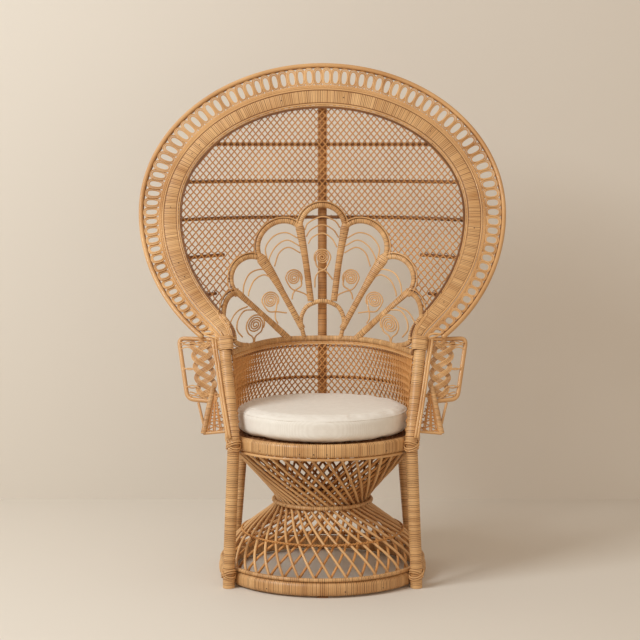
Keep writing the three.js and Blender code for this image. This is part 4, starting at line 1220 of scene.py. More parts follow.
def make_glide(name):
    """A flat wooden foot under the base band, with bevelled edges"""
    low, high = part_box(name)
    deselect()
    bpy.ops.mesh.primitive_cube_add(size=1, location=(low + high) / 2, scale=high - low)
    glide = bpy.context.object
    bpy.ops.object.transform_apply(location=True, rotation=True, scale=True)
    apply_modifier(glide, "BEVEL", width=GLIDE_BEVEL, segments=3)
    set_values(glide.data, "tone", np.full(len(glide.data.vertices), 0.5))
    set_values(glide.data, "crest", np.ones(len(glide.data.vertices)))
    smooth(glide)
    settle(glide)
    finished(glide, f"{name}_bevelled", dark_cane(), [name])


# Seat
def make_seat():
    path = ring_path(SEAT_RADIUS - SEAT_BAND_WALL / 2, (SEAT_LOW.z + SEAT_HIGH.z) / 2, BAND_COUNT)
    wrapped(
        "seat_band_wound", path, SEAT_HIGH.z - SEAT_LOW.z, SEAT_BAND_WALL, wound_cane(),
        replaced=["seat_band"], sides=4, flat=BAND_EDGE_SHARE, seed=21,
    )
    rods("seat_deck_woven", deck_slats(), HOOP_ROD, dark_cane(), ["seat_deck"], sides=6, seed=22)


def deck_slats():
    """The seat deck's two families of slats, woven square to each other"""
    low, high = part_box("seat_deck")
    radius = (high.x - low.x) / 2
    level = high.z - DECK_DROP
    slats = []
    for k in range(-DECK_SLATS, DECK_SLATS + 1):
        offset = k * DECK_SPACING
        reach = math.sqrt(radius**2 - offset**2) - DECK_END_GAP
        along = np.linspace(-reach, reach, 48)
        wave = DECK_WAVE * np.cos((along / DECK_SPACING + k) * math.pi)
        slats.append(stacked(offset, AXIS_Y + along, level + wave))
        slats.append(stacked(along, AXIS_Y + offset, level - wave))
    return slats


# Posts, legs and spine
def post_facing(side):
    return np.array([side * math.sin(POST_AZIMUTH), -math.cos(POST_AZIMUTH), 0.0])


def make_posts():
    for name, side in SIDES:
        make_post(name, side)
        make_knuckle(name, side)
        rods(
            f"post_piping_round_{name}", piping_lines(side), PIPING_ROD, plain_pole(),
            replaced=[f"post_piping_{name}"], sides=8, seed=32,
        )
        make_leg(name, side)
        for kind, z in (("seat", SEAT_HIGH.z - SEAT_LASHING_DROP), ("ankle", ANKLE_LASHING_Z)):
            rods(
                f"{kind}_lashing_{name}", lashing_lines(side, z), LASHING_ROD, plain_pole(),
                replaced=[f"{kind}_binding_{name}"], closed=True, seed=34,
            )
    make_spine()


def make_post(name, side):
    path = Path(post_point(side, np.linspace(0, SHOULDER_Z - KNUCKLE_HEIGHT, 60)), post_facing(side))
    wrapped(
        f"front_post_wound_{name}", path, POST_WIDTH, POST_WIDTH, wound_cane(),
        replaced=[f"front_post_{name}"], sides=16, seed=31,
    )


def make_leg(name, side):
    path = Path(leg_point(side, np.linspace(0, SEAT_HIGH.z, 40)), unit(np.array([side, 1.0, 0])))
    wrapped(
        f"rear_leg_wound_{name}", path, LEG_WIDTH, LEG_WIDTH, wound_cane(),
        replaced=[f"rear_leg_{name}"], sides=14, seed=33,
    )


def make_spine():
    z = np.linspace(SEAT_LOW.z, SPINE_TOP, 60)
    path = Path(stacked(0, spine_y(z), z), (0, -1, 0))
    wrapped(
        "spine_wound", path, SPINE_WIDTH, SPINE_WIDTH, brown_wound(), ["spine_pole"],
        pitch=SPINE_PITCH, seed=36,
    )


def make_knuckle(name, side):
    """The wound block where the fan's band lands on the post"""
    points = post_point(side, np.linspace(SHOULDER_Z - KNUCKLE_HEIGHT, SHOULDER_Z, 12))
    path = Path(points - np.array([side * KNUCKLE_SHIFT, 0, 0]), (0, -1, 0))
    wrapped(
        f"knuckle_{name}", path, KNUCKLE_WIDTH, KNUCKLE_DEPTH, wound_cane(),
        replaced=[f"front_post_{name}"], sides=4, flat=KNUCKLE_EDGE_SHARE, taper=KNUCKLE_TAPER, seed=35,
    )


def piping_lines(side):
    """Two thin rods down each post's outer side, swinging to its front above the seat"""
    share = np.linspace(0, 1, 24)
    top_gap, foot_gap = PIPING_END_GAPS
    centre = post_point(side, mix(SHOULDER_Z - top_gap, SEAT_HIGH.z + foot_gap, share))
    beside = (KNUCKLE_WIDTH / 2 - KNUCKLE_SHIFT, POST_WIDTH / 2)
    lines = []
    for step, turn in enumerate(PIPING_TURNS):
        near = np.interp(share, PIPING_STEP_SHARES, beside) + step * PIPING_ROD
        far = POST_WIDTH / 2 + step * PIPING_ROD * PIPING_FOOT_SHARE
        reach = mix(near, far, share) + PIPING_ROD / 2
        angle = turn * share
        lines.append(centre + stacked(side * reach * np.cos(angle), -reach * np.sin(angle), 0))
    return lines


def lashing_lines(side, z):
    """Crossed loops of cane round a post, where it is tied to a band"""
    angle = ring_angles(40)
    out = post_facing(side)
    across = np.array([-out[1], out[0], 0])
    lines = []
    circle = np.outer(np.cos(angle), across) + np.outer(np.sin(angle), out)
    for lean in (-1, 1):
        reach = POST_WIDTH / 2 + LASHING_GAP + LASHING_LAP * lean
        for k in range(2):
            ring = post_point(side, z + (k - 0.5) * LASHING_SPACING) + reach * circle
            ring[:, 2] += LASHING_LEAN * lean * np.cos(angle)
            lines.append(ring)
    return lines


# Hoop, rim and lace
def make_hoop():
    make_band()
    thin = sizes().piping
    plain, dark = plain_pole(), dark_cane()
    piping = edge_lines(HOOP_PIPING, HOOP_PIPING_FORWARD)
    rods("hoop_piping", piping, thin, plain, replaced=["hoop_band"], sides=8, seed=42)
    strands = edge_lines(HOOP_STRANDS, HOOP_STRANDS_FORWARD)
    rods("hoop_strands", strands, thin * HOOP_STRANDS_SHARE, plain, replaced=["hoop_band"], seed=43)
    # Dark rods along the band's edges: painted shade in the creases beside the piping
    grooves = edge_lines(HOOP_GROOVE_SHADES, HOOP_GROOVE_SHADES_FORWARD)
    rods("hoop_groove_shades", grooves, thin * HOOP_GROOVE_SHADES_SHARE, dark, ["hoop_band"])
    beading = plait_along(BAND_INNER_SHARE, BEADING_OUT_SHARE, BEADING)
    rods("hoop_beading", beading, BEADING_ROD, dark, ["fan_lattice"], seed=44)
    braid = plait_along(BAND_OUTER_SHARE, BRAID_OUT_SHARE, BRAID)
    rods("hoop_braid", braid, BRAID_ROD, woven_cane(), replaced=["lace_border"], seed=45)


def make_band():
    """The wide wound band, narrower towards the shoulders"""
    inner, outer = oval_path(BAND_INNER_SHARE), oval_path(BAND_OUTER_SHARE)
    widths = np.linalg.norm(outer.points - inner.points, axis=1)
    widest = float(widths.max())
    wrapped(
        "hoop_band_wound", oval_path(BAND_MIDDLE_SHARE), widest, BAND_DEPTH, wound_cane(),
        replaced=["hoop_band"], sides=3, flat=BAND_ROUNDING_SHARE,
        taper=(np.linspace(0, 1, len(widths)), widths / widest), seed=41,
    )


def edge_lines(places, forward):
    """Lines along the band's edges, each moved outwards by a share of the piping's width"""
    thin = sizes().piping
    return [oval_path(edge, outward=thin * out, forward=forward).points for edge, out in places]


def plait_along(edge, out_share, plait):
    """Plaited strands beside one edge of the band"""
    outward = sizes().piping * out_share
    return braid_lines(oval_path(edge, outward, BRAID_FORWARD, FINE_COUNT), *plait)


def braid_lines(path, reach, period, strands):
    """Strands plaited about a path, each passing over and under the others"""
    turn = np.linspace(0, path.length() / period, len(path.points)) * 2 * math.pi
    side = unit(np.cross(path.facing, path.along()))
    lines = []
    for start in ring_angles(strands):
        across = side * (np.sin(turn + start) * reach)[:, None]
        over = path.facing * (np.sin(2 * (turn + start)) * BRAID_LIFT)[:, None]
        lines.append(path.points + across + over)
    return lines


def nearest_on(low, high):
    """The places on an outer line that lie straight outwards from each place on an inner one"""
    reach = np.linalg.norm(high.points[None] - low.points[:, None], axis=2)
    at = averaged(np.argmin(reach, axis=1).astype(float), "edge")
    rows = np.arange(len(high.points))
    return Path(read_line(rows, high.points, at), read_line(rows, high.facing, at))


def lace_loop(low, high, middle, step, wide_share, tall_share):
    """One rounded loop of the lace, in front of one neighbour and behind the other"""
    angle = ring_angles(28)
    wide = np.sign(np.cos(angle)) * np.abs(np.cos(angle)) ** LACE_ROUNDING
    tall = np.sign(np.sin(angle)) * np.abs(np.sin(angle)) ** LACE_ROUNDING
    rows = np.linspace(0, 1, len(low.points))
    at = np.clip(middle + wide_share * step * wide, 0, 1)
    inner, outer, facing = (read_line(rows, values, at) for values in (low.points, high.points, low.facing))
    place = mix(inner, outer, (0.5 + tall_share * tall)[:, None])
    return place + facing * (LACE_WEAVE * np.cos(angle))[:, None]


def make_lace():
    rim = oval_path(RIM_SHARE, count=RIM_COUNT)
    rods("rim_round", [rim.points], RIM_ROD, plain_pole(), replaced=["rim_pole"], sides=12)
    low = oval_path(BAND_OUTER_SHARE, outward=sizes().piping * LACE_GAP_SHARE, count=RIM_COUNT)
    rim_inside = oval_path(RIM_SHARE, outward=-RIM_ROD / 2 - LACE_STRAND / 2, count=FINE_COUNT)
    high = nearest_on(low, rim_inside)
    woven = woven_cane()
    count = sizes().lace_loops
    for name, (wide, tall) in zip(("outer", "inner"), LACE_LOOP_SHARES):
        loops = [lace_loop(low, high, (k + 0.5) / count, 1 / count, wide, tall) for k in range(count)]
        rods(f"lace_loops_{name}", loops, LACE_STRAND, woven, replaced=["lace_border"], closed=True, seed=51)
    # A dark rod just inside and behind the rim: painted shade in the gap between the rim and the lace
    groove_shade = oval_path(RIM_SHARE, outward=-RIM_ROD / 2 - RIM_GROOVE_SHADE_GAP, forward=-RIM_GROOVE_SHADE_BACK)
    rods("rim_groove_shade", [groove_shade.points], GROOVE_SHADE_ROD, dark_cane(), ["rim_pole"])
    edge = low.beside(forward=LACE_EDGE_FORWARD)
    rods("lace_edge_strand", [edge.points], LACE_EDGE_STRAND, woven, replaced=["lace_border"], seed=52)


# Lattice and rails
def scallop_line(order, outward=0.0, count=33):
    """A scallop's middle line: half an ellipse between the tops of neighbouring ribs"""
    start = np.array([-RIB_TOPS[0][0], RIB_TOPS[0][1]] if order == 0 else RIB_TOPS[order - 1])
    end = np.array(OUTER_SCALLOP_FOOT if order == len(RIB_TOPS) else RIB_TOPS[order])
    reach = np.linalg.norm(end - start) / 2
    along = (end - start) / (2 * reach)
    out = np.array([-along[1], along[0]])
    angle = np.linspace(math.pi, 0, count)
    high = (SCALLOP_BULGES[order] + outward) * np.sin(angle)
    wide = (reach + outward) * np.cos(angle) + SCALLOP_LEAN_SHARES[order] * high
    line = (start + end) / 2 + np.outer(wide, along) + np.outer(high, out)
    edge = half_width(oval_at(BAND_INNER_SHARE), line[:, 1]) - (SCALLOP_ROD / 2 + FIT - outward)
    line[:, 0] = np.minimum(line[:, 0], edge)
    return line


def inside(x, z, outline):
    """Whether points lie inside a closed outline"""
    found = np.zeros(x.shape, bool)
    for (ax, az), (bx, bz) in zip(outline, np.roll(outline, -1, axis=0)):
        if az == bz:
            continue
        at = ax + (z - az) * (bx - ax) / (bz - az)
        found ^= ((az > z) != (bz > z)) & (x < at)
    return found


def petal_outlines():
    orders = range(len(RIB_TOPS) + 1)
    hub = [0, HUB_TOP - SCALLOP_ROD]
    return [np.vstack([scallop_line(order, outward=SCALLOP_ROD / 4), hub]) for order in orders]


def in_lattice(x, z, petals):
    edge = half_width(oval_at(BAND_INNER_SHARE), z) - LATTICE_EDGE_GAP
    kept = (np.abs(x) < edge) & (z > LATTICE_FOOT)
    for outline in petals:
        kept &= ~inside(np.abs(x), z, outline)
    return kept


def runs(kept):
    """Stretches of kept samples, each one sample longer at both ends"""
    flags = np.concatenate([[False], kept, [False]]).astype(int)
    starts = np.where(np.diff(flags) == 1)[0]
    ends = np.where(np.diff(flags) == -1)[0]
    return [slice(max(a - 1, 0), b + 1) for a, b in zip(starts, ends) if b - a > 1]


def fan_strands(lean):
    """One family of the fan's diagonal strands, passing over and under the other"""
    wide, high = sizes().cell_width, sizes().cell_height
    middle = LATTICE_OVAL[1]
    slope = lean * high / wide
    reach = LATTICE_OVAL[0] + BAND_STEP[0]
    x = np.arange(-reach, reach, wide / 4)
    petals = petal_outlines()
    rows = int((LATTICE_OVAL[2] + LATTICE_OVAL[3]) / high + reach / wide) + 2
    lines = []
    for index in range(-rows, rows):
        z = middle + slope * x + (index + 0.5) * high
        other = (z - middle + slope * x) / high - 0.5
        weave = lean * np.cos(math.pi * (index + other)) * sizes().strand * WEAVE_SHARE
        place = on_dish(x, z) + facing_of(on_dish, x, z) * weave[:, None]
        lines.extend(place[run] for run in runs(in_lattice(x, z, petals)))
    return lines


def make_lattice():
    for name, lean in (("rising", 1), ("falling", -1)):
        rods(
            f"fan_strands_{name}", fan_strands(lean), sizes().strand, lattice_cane(),
            replaced=["fan_lattice"], seed=61 + lean,
        )
    for i, z in enumerate(FULL_RAILS):
        reach = float(half_width(oval_at(RAIL_END_SHARE), z))
        make_rail(f"back_rail_{i + 1}", z, -reach, reach)
    for i, z in enumerate(BROKEN_RAILS):
        for name, side in SIDES:
            node = f"back_rail_{len(FULL_RAILS) + i + 1}_{name}"
            low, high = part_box(node)
            reach = float(half_width(oval_at(RAIL_END_SHARE), z))
            make_rail(node, z, low.x if side > 0 else high.x, side * reach)


def make_rail(node, z, start, end):
    """A dark rod behind the lattice, tied to it along its length"""
    x = np.linspace(start, end, 40)
    path = surface_path(on_dish, x, np.full(len(x), z), forward=-RAIL_STANDOFF)
    rods(f"{node}_round", [path.points], RAIL_ROD, dark_cane(), [node], sides=8)
    ties = rail_ties(z, min(start, end), max(start, end))
    rods(f"{node}_ties", ties, RAIL_TIE_STRAND, dark_cane(), replaced=[node], closed=True, sides=4, seed=62)


def rail_ties(z, left, right):
    """Leaning loops round a rail and the lattice in front of it, one to each diamond"""
    angle = ring_angles(12)
    spacing = sizes().cell_width
    lean = np.array([RAIL_TIE_LEAN, 0, 1.0])
    ties = []
    for at in np.arange(left + spacing, right - spacing / 2, spacing):
        front = facing_of(on_dish, at, z)
        centre = on_dish(at, z) - front * RAIL_STANDOFF / 2
        upright = np.outer(np.cos(angle), lean) * RAIL_TIE_RISE
        ties.append(centre + upright + np.outer(np.sin(angle), front) * RAIL_TIE_DEPTH)
    return ties


# Flower
def fan_path(line, side=1, forward=FLOWER_FORWARD):
    return surface_path(on_dish, line[:, 0] * side, line[:, 1], forward)


def rib_line(order):
    line = smooth_through([RIB_TOPS[order], RIB_MIDDLES[order], RIB_FEET[order]], 24)
    head = unit(line[0] - line[1]) * RIB_HEAD_WIDTHS[order] / 2
    return np.vstack([line[0] + head, line])


def make_rib(order, name, side):
    head, foot = RIB_HEAD_WIDTHS[order], RIB_FOOT_WIDTHS[order]
    widest = max(head, foot)
    widths = np.array([head * RIB_CROWN_SHARE, head, head * RIB_NECK_SHARE, foot, foot])
    wrapped(
        f"rib_wound_{order + 1}_{name}", fan_path(rib_line(order), side), widest, RIB_DEPTH, wound_cane(),
        replaced=[f"rib_{order + 1}_{name}"], sides=12, taper=(RIB_TAPER_PLACES, widths / widest),
        pitch=FLOWER_PITCH, swell=FLOWER_SWELL, seed=71 + order,
    )


def make_scallop(order, name, side):
    """One wound arch, with a dark rod of painted shade in the gap and a plain edge round its outside"""
    node = f"scallop_{order}_{name}" if order else "scallop_middle"
    wrapped(
        f"{node}_wound", fan_path(scallop_line(order), side), SCALLOP_ROD, FLOWER_DEPTH, wound_cane(),
        replaced=[node], sides=12, pitch=FLOWER_PITCH, swell=FLOWER_SWELL, seed=76 + order,
    )
    # A dark rod between the arch and its edge paints the shade in the gap
    groove_shade = scallop_line(order, outward=SCALLOP_ROD / 2 + SCALLOP_GROOVE_SHADE_OUT)
    groove_shade = fan_path(groove_shade, side, SCALLOP_GROOVE_SHADE_FORWARD)
    rods(f"{node}_groove", [groove_shade.points], GROOVE_SHADE_ROD, dark_cane(), [node])
    edge = scallop_line(order, outward=SCALLOP_ROD / 2 + SCALLOP_EDGE_OUT)
    edge = fan_path(edge, side, SCALLOP_EDGE_FORWARD)
    rods(f"{node}_edge", [edge.points], SCALLOP_EDGE_ROD, plain_pole(), replaced=[node])


def make_hub():
    """The arch at the foot of the fan"""
    legs = np.array(HUB_LEGS)
    line = np.vstack([legs * [-1, 1], [[0, HUB_TOP]], legs[::-1]])
    wrapped(
        "hub_arch_wound", fan_path(smooth_through(line, 60)), HUB_ROD, FLOWER_DEPTH, wound_cane(),
        replaced=["hub_arch"], sides=12, pitch=FLOWER_PITCH, swell=FLOWER_SWELL, seed=75,
    )


def make_flower():
    for order in range(len(RIB_TOPS)):
        for name, side in SIDES:
            make_rib(order, name, side)
    make_hub()
    for order in range(len(RIB_TOPS) + 1):
        for name, side in SIDES if order else MIDDLE:
            make_scallop(order, name, side)
    brows = [fan_path(smooth_through(brow, 24)).points for brow in MIDDLE_BROWS]
    brows += [fan_path(smooth_through(brow, 24), side).points for brow in BROWS for _, side in SIDES]
    rods("petal_brows", brows, BROW_ROD, woven_cane(), replaced=["scallop_middle"], seed=81)


# Coils
def coil_lines(order, side):
    """A spiral, and an arch over it, whose ends cross below and run on to the ribs"""
    centre = np.array(COIL_CENTRES[order])
    first, second = (np.array(tail) for tail in COIL_TAILS[order])
    turns = sizes().coil_turns
    share = np.linspace(0, 1, int(turns * 24))
    radius = mix(COIL_EYE_RADIUS, COIL_RADIUS - COIL_ROD * COIL_INSET_SHARE, share)
    angle = math.pi - (1 - share) * turns * 2 * math.pi
    spiral = np.stack([radius * np.cos(angle), radius * np.sin(angle)], axis=-1)
    first_turn, last_turn = COIL_ARCH_TURNS
    angle = np.linspace(first_turn * math.pi, last_turn * math.pi, 24)
    reach = COIL_RADIUS - COIL_ROD / 2
    arch = np.stack([reach * np.cos(angle), reach * np.sin(angle)], axis=-1)
    lines = []
    for winding, tail, forward in ((spiral, first, 0), (arch, second, COIL_LAP)):
        run = smooth_through(np.vstack([winding[-4], winding[-1], tail]), 30)
        joined = np.vstack([winding[:-4], run])
        lines.append(fan_path(centre + joined, side, FLOWER_FORWARD + forward).points)
    return lines


def make_coils():
    for order in range(len(COIL_CENTRES)):
        for name, side in SIDES if order else MIDDLE:
            node = f"coil_{order}_{name}" if order else "coil_middle"
            lines = coil_lines(order, side)
            rods(f"{node}_strands", lines, COIL_ROD, plain_pole(), replaced=[node], seed=91 + order)


# Barrel
def barrel_head_line(z, count=81):
    reach = post_point(1, z)[0] - BARREL_REACH_GAP
    front = post_point(1, z)[1]
    depth = spine_y(z) - SHEET_STANDOFF - front
    share = np.sin(np.linspace(-0.5, 0.5, count) * math.pi)
    return evenly(stacked(share * reach, front + depth * (1 - np.abs(share) ** DISH_SHARPNESS), z), count)


def barrel_foot_line(count=81):
    share = np.linspace(-1, 1, count)
    front = float(stand_radius(SEAT_HIGH.z, 0)) - BARREL_FOOT_GAP
    radius = mix(SEAT_RADIUS - SEAT_BAND_WALL / 2, front, share**FOOT_SHARPNESS)
    angle = share * (math.pi - POST_AZIMUTH)
    return evenly(stacked(radius * np.sin(angle), AXIS_Y + radius * np.cos(angle), BARREL_FOOT), count)


def on_barrel(along, up, outward):
    """Points on the barrel's wall, moved out of it by a distance"""
    foot, head = barrel_foot_line(), barrel_head_line(BARREL_TOP)
    rows = np.linspace(0, 1, len(foot))
    step = 0.01

    def read(at):
        return mix(read_line(rows, foot, at), read_line(rows, head, at), up[:, None])

    right = read(along + step) - read(along - step)
    out = unit(stacked(-right[:, 1], right[:, 0], 0))
    return read(along) + out * outward[:, None]


def barrel_strands(lean):
    """One family of the barrel's diagonal strands"""
    length = (length_of(barrel_foot_line()) + length_of(barrel_head_line(BARREL_TOP))) / 2
    columns = round(length / sizes().cell_width)
    rise = (BARREL_TOP - BARREL_FOOT) / sizes().cell_height
    up = np.linspace(0, 1, round(rise * 4) + 1)
    lines = []
    for index in range(-int(rise) - 1, columns + int(rise) + 2):
        column = index + lean * up * rise
        other = column + lean * up * rise
        weave = lean * np.cos(math.pi * (index + other)) * sizes().strand * WEAVE_SHARE
        place = on_barrel(column / columns, up, weave)
        lines.extend(place[run] for run in runs((column >= 0) & (column <= columns)))
    return lines


def make_barrel():
    rail = Path(barrel_head_line(BARREL_RAIL_Z), (0, 0, 1.0))
    make_barrel_rail(rail)
    for name, lean in (("rising", 1), ("falling", -1)):
        rods(
            f"barrel_strands_{name}", barrel_strands(lean), sizes().strand * BARREL_STRAND_SHARE,
            lattice_cane(), replaced=["barrel_lattice"], seed=103 + lean,
        )
    make_mid_rail()
    beads = rail.beside(forward=-BARREL_PIPING_DROP - sizes().piping * BEADS_DROP_SHARE)
    wrapped(
        "barrel_rail_beads", beads, BEAD_WIDTH, BEAD_WIDTH, dark_cane(), ["barrel_lattice"],
        sides=8, pitch=BEAD_PITCH, swell=BEAD_SWELL, seed=106,
    )


def make_barrel_rail(rail):
    """The wound top rail, with two rows of piping under it"""
    wrapped(
        "barrel_top_rail_wound", rail, BARREL_RAIL_ROD, BARREL_RAIL_DEPTH, wound_cane(),
        replaced=["barrel_top_rail"], sides=12, pitch=BARREL_RAIL_PITCH, seed=101,
    )
    thin = sizes().piping
    pair = []
    for row in range(2):
        across = -BARREL_PIPING_IN * (1 + row)
        forward = -BARREL_PIPING_DROP - row * thin * BARREL_PIPING_STEP_SHARE
        pair.append(rail.beside(across, forward).points)
    rods("barrel_rail_piping", pair, thin, plain_pole(), replaced=["barrel_top_rail"], sides=8, seed=102)


def make_mid_rail():
    """The dark rail outside the barrel's wall"""
    up = (BARREL_MID_Z - BARREL_FOOT) / (BARREL_TOP - BARREL_FOOT)
    along = np.linspace(*MID_RAIL_ENDS, 80)
    line = on_barrel(along, np.full(len(along), up), np.full(len(along), MID_RAIL_STANDOFF))
    wrapped(
        "barrel_mid_rail_wound", Path(line, (0, 0, 1.0)), RAIL_ROD, RAIL_ROD, dark_cane(),
        ["barrel_mid_rail"], sides=8, pitch=MID_RAIL_PITCH, swell=MID_RAIL_SWELL, seed=105,
    )


# Wings
def on_wing(side, x, z, forward=0.0):
    post = post_point(1, z)
    return stacked(side * x, post[..., 1] + WING_SWEEP * (x - post[..., 0]) - forward, z)


def wing_line(side, points, forward=0.0):
    """A line through corner points, each rounded off"""
    points = np.array(points, float)
    line = [points[:1]]
    t = np.linspace(0, 1, 8)[:, None]
    for before, here, after in zip(points, points[1:], points[2:]):
        first = here + unit(before - here) * WING_ROUNDING
        second = here + unit(after - here) * WING_ROUNDING
        line.append((1 - t) ** 2 * first + 2 * t * (1 - t) * here + t**2 * second)
    line.append(points[-1:])
    line = evenly(np.vstack(line), 60)
    return on_wing(side, line[:, 0], line[:, 1], forward)


def pole_reach(z):
    """How far out the wing's outer pole stands at a height"""
    return np.interp(z, (WING_FOOT[1], WING_CORNER[1]), (WING_FOOT[0], WING_CORNER[0]))


def plait_lines(side):
    """Bands of parallel canes plaited down the panel, over and under each other"""
    z = np.linspace(WING_FOOT[1] + WING_POLE / 2, WING_CORNER[1] - WING_POLE / 2, 90)
    inner = post_point(1, z)[:, 0] + PLAIT_INNER
    outer = pole_reach(z) - PLAIT_OUTER
    lines = []
    for start in ring_angles(PLAIT_BANDS):
        turn = (z - z[0]) / PLAIT_PERIOD * 2 * math.pi + start
        middle = np.stack([mix(inner, outer, 0.5 + PLAIT_REACH_SHARE * np.sin(turn)), z], axis=-1)
        along = unit(np.gradient(middle, axis=0))
        across = np.stack([along[:, 1], -along[:, 0]], axis=-1)
        lift = PLAIT_FORWARD + PLAIT_LIFT * np.sin(2 * turn)
        for k in range(PLAIT_CANES):
            line = middle + across * (k - (PLAIT_CANES - 1) / 2) * WING_STRAND * PLAIT_SPACING_SHARE
            line[:, 1] = np.clip(line[:, 1], WING_FOOT[1], WING_CORNER[1])
            lines.append(on_wing(side, line[:, 0], line[:, 1], lift))
    return lines


def stile_ties(side):
    """Short canes that tie the plait to the outer pole"""
    lines = []
    for z, sag in STILE_TIES:
        reach = float(pole_reach(z))
        x = np.linspace(reach - STILE_TIE_REACH, reach, 16)
        bend = sag * np.sin(np.linspace(0, math.pi, len(x)))
        lines.append(on_wing(side, x, z + bend, STILE_TIE_FORWARD))
    return lines


def edge_canes(side):
    """Wavy canes along the panel's top and bottom"""
    inner_gap, outer_gap = EDGE_CANE_ENDS
    lines = []
    for level, rise in ((WING_CORNER[1], -1), (WING_FOOT[1], 1)):
        start = float(post_point(1, level)[0]) + inner_gap
        x = np.linspace(start, float(pole_reach(level)) - outer_gap, 30)
        for k in range(EDGE_CANES):
            wave = np.sin((x - start) / EDGE_CANE_PERIOD * 2 * math.pi + k * EDGE_CANE_PHASE)
            z = level + rise * (EDGE_CANE_INSET + k * EDGE_CANE_STEP) + EDGE_CANE_WAVE * wave
            lines.append(on_wing(side, x, z, EDGE_CANE_FORWARD + EDGE_CANE_LIFT * wave))
    return lines


def corner_lines(side):
    """The small woven triangle under the wing: rungs, and strands woven through them"""
    top, foot, end = np.array(BRACE_TOP), np.array(BRACE_FOOT), np.array(BRACE_END)
    count = 14
    lines = []
    for k, share in enumerate(np.linspace(*CORNER_RUNG_SHARES, CORNER_RUNGS)):
        rung = evenly(np.array([mix(top, foot, share), mix(top, end, share)]), count)
        wave = np.sin(np.linspace(0, 3 * math.pi, count) + k * math.pi)
        z = rung[:, 1] + CORNER_WAVE * wave
        lines.append(on_wing(side, rung[:, 0], z, CORNER_FORWARD + CORNER_LIFT * wave))
    for share in CORNER_STRAND_SHARES:
        ends = np.array([mix(top, end, CORNER_STRAND_START), mix(foot, end, share)])
        strand = evenly(ends, count)
        lines.append(on_wing(side, strand[:, 0], strand[:, 1], CORNER_STRAND_FORWARD))
    return lines


def make_wing(name, side):
    make_wing_frame(name, side)
    node = f"wing_weave_{name}"
    woven = woven_cane()
    rods(f"wing_plait_{name}", plait_lines(side), WING_STRAND, woven, replaced=[node], seed=114)
    ties = stile_ties(side) + edge_canes(side)
    rods(f"wing_ties_{name}", ties, WING_STRAND, woven, replaced=[node], seed=115)
    corner = corner_lines(side)
    rods(f"wing_corner_{name}", corner, sizes().strand, lattice_cane(), replaced=[node], seed=116)


def make_wing_frame(name, side):
    """The wing's bent pole, its wound brace and two thin poles"""
    node = f"wing_frame_{name}"
    plain = plain_pole()
    start = (float(post_point(1, WING_CORNER[1])[0]) + POST_WIDTH / 2, WING_CORNER[1])
    pole = wing_line(side, [start, WING_CORNER, WING_FOOT, WING_INNER])
    rods(f"wing_pole_{name}", [pole], WING_POLE, plain, replaced=[node], sides=12, seed=111)
    brace = Path(wing_line(side, [BRACE_TOP, BRACE_FOOT], BRACE_WIDTH / 2), (0, -1, 0))
    wrapped(
        f"wing_brace_{name}", brace, BRACE_WIDTH, WING_POLE, wound_cane(),
        replaced=[node], sides=12, pitch=BRACE_PITCH, seed=112,
    )
    thin = [
        wing_line(side, [BRACE_FOOT, BRACE_END], WING_POLE / 2),
        wing_line(side, [THIN_POLE_TOP, THIN_POLE_FOOT]),
    ]
    rods(f"wing_thin_poles_{name}", thin, HOOP_ROD, plain, replaced=[node], sides=8, seed=113)


# Nails
def ring_spot(radius, azimuth, z):
    """A place on the outside of a level ring, and the way it faces"""
    out = np.array([math.sin(azimuth), -math.cos(azimuth), 0])
    return out * radius + np.array([0, AXIS_Y, z]), out


def nail_heads(name, spots, replaced):
    """Small domed nail heads, each facing its own way"""
    deselect()
    bpy.ops.mesh.primitive_uv_sphere_add(segments=8, ring_count=6, radius=NAIL_WIDTH / 2)
    dome = bpy.context.object
    edit_all(dome)
    bpy.ops.mesh.bisect(plane_co=(0, 0, 0), plane_no=(0, 0, 1), clear_inner=True, use_fill=True)
    bpy.ops.object.mode_set(mode="OBJECT")
    copies = []
    for place, facing in spots:
        copy = bpy.data.objects.new(name, dome.data.copy())
        turn = Vector(facing).to_track_quat("Z", "Y").to_matrix().to_4x4()
        copy.data.transform(Matrix.Translation(Vector(place)) @ turn)
        bpy.context.scene.collection.objects.link(copy)
        copies.append(copy)
    bpy.data.objects.remove(dome)
    deselect()
    for copy in copies:
        copy.select_set(True)
    bpy.context.view_layer.objects.active = copies[0]
    bpy.ops.object.join()
    piece = bpy.context.object
    for label in ("tone", "crest"):
        set_values(piece.data, label, np.ones(len(piece.data.vertices)))
    smooth(piece)
    settle(piece)
    return finished(piece, name, nail_head(), replaced)


def base_nail_spots():
    rings = [(SEAT_RADIUS, turn, SEAT_LOW.z + SEAT_NAIL_RISE) for turn in SEAT_NAIL_TURNS]
    rings += [(WAIST_RING_RADIUS + WAIST_ROD / 2, turn, WAIST_Z) for turn in WAIST_NAIL_TURNS]
    rings += [(BASE_RADIUS, turn, BASE_LOW.z + BASE_NAIL_RISE) for turn in BASE_NAIL_TURNS]
    return [ring_spot(radius, math.radians(turn), z) for radius, turn, z in rings]


def front_spots(path, rows, reach):
    """Places in front of a path, with the way it faces there"""
    return [(path.points[i] + path.facing[i] * reach, path.facing[i]) for i in rows]


def fan_nail_spots():
    middle = oval_path(BAND_MIDDLE_SHARE)
    rows = [round(share * (len(middle.points) - 1)) for share in HOOP_NAIL_SHARES]
    spots = front_spots(middle, rows, BAND_DEPTH / 2)
    for order in range(len(RIB_TOPS)):
        for _, side in SIDES:
            spots += front_spots(fan_path(rib_line(order), side), RIB_NAIL_ROWS, FLOWER_DEPTH / 2 + FIT)
    return spots


def make_nails():
    nail_heads("base_nails", base_nail_spots(), ["seat_band", "waist_ring", "base_band"])
    nail_heads("fan_nails", fan_nail_spots(), ["hoop_band"])


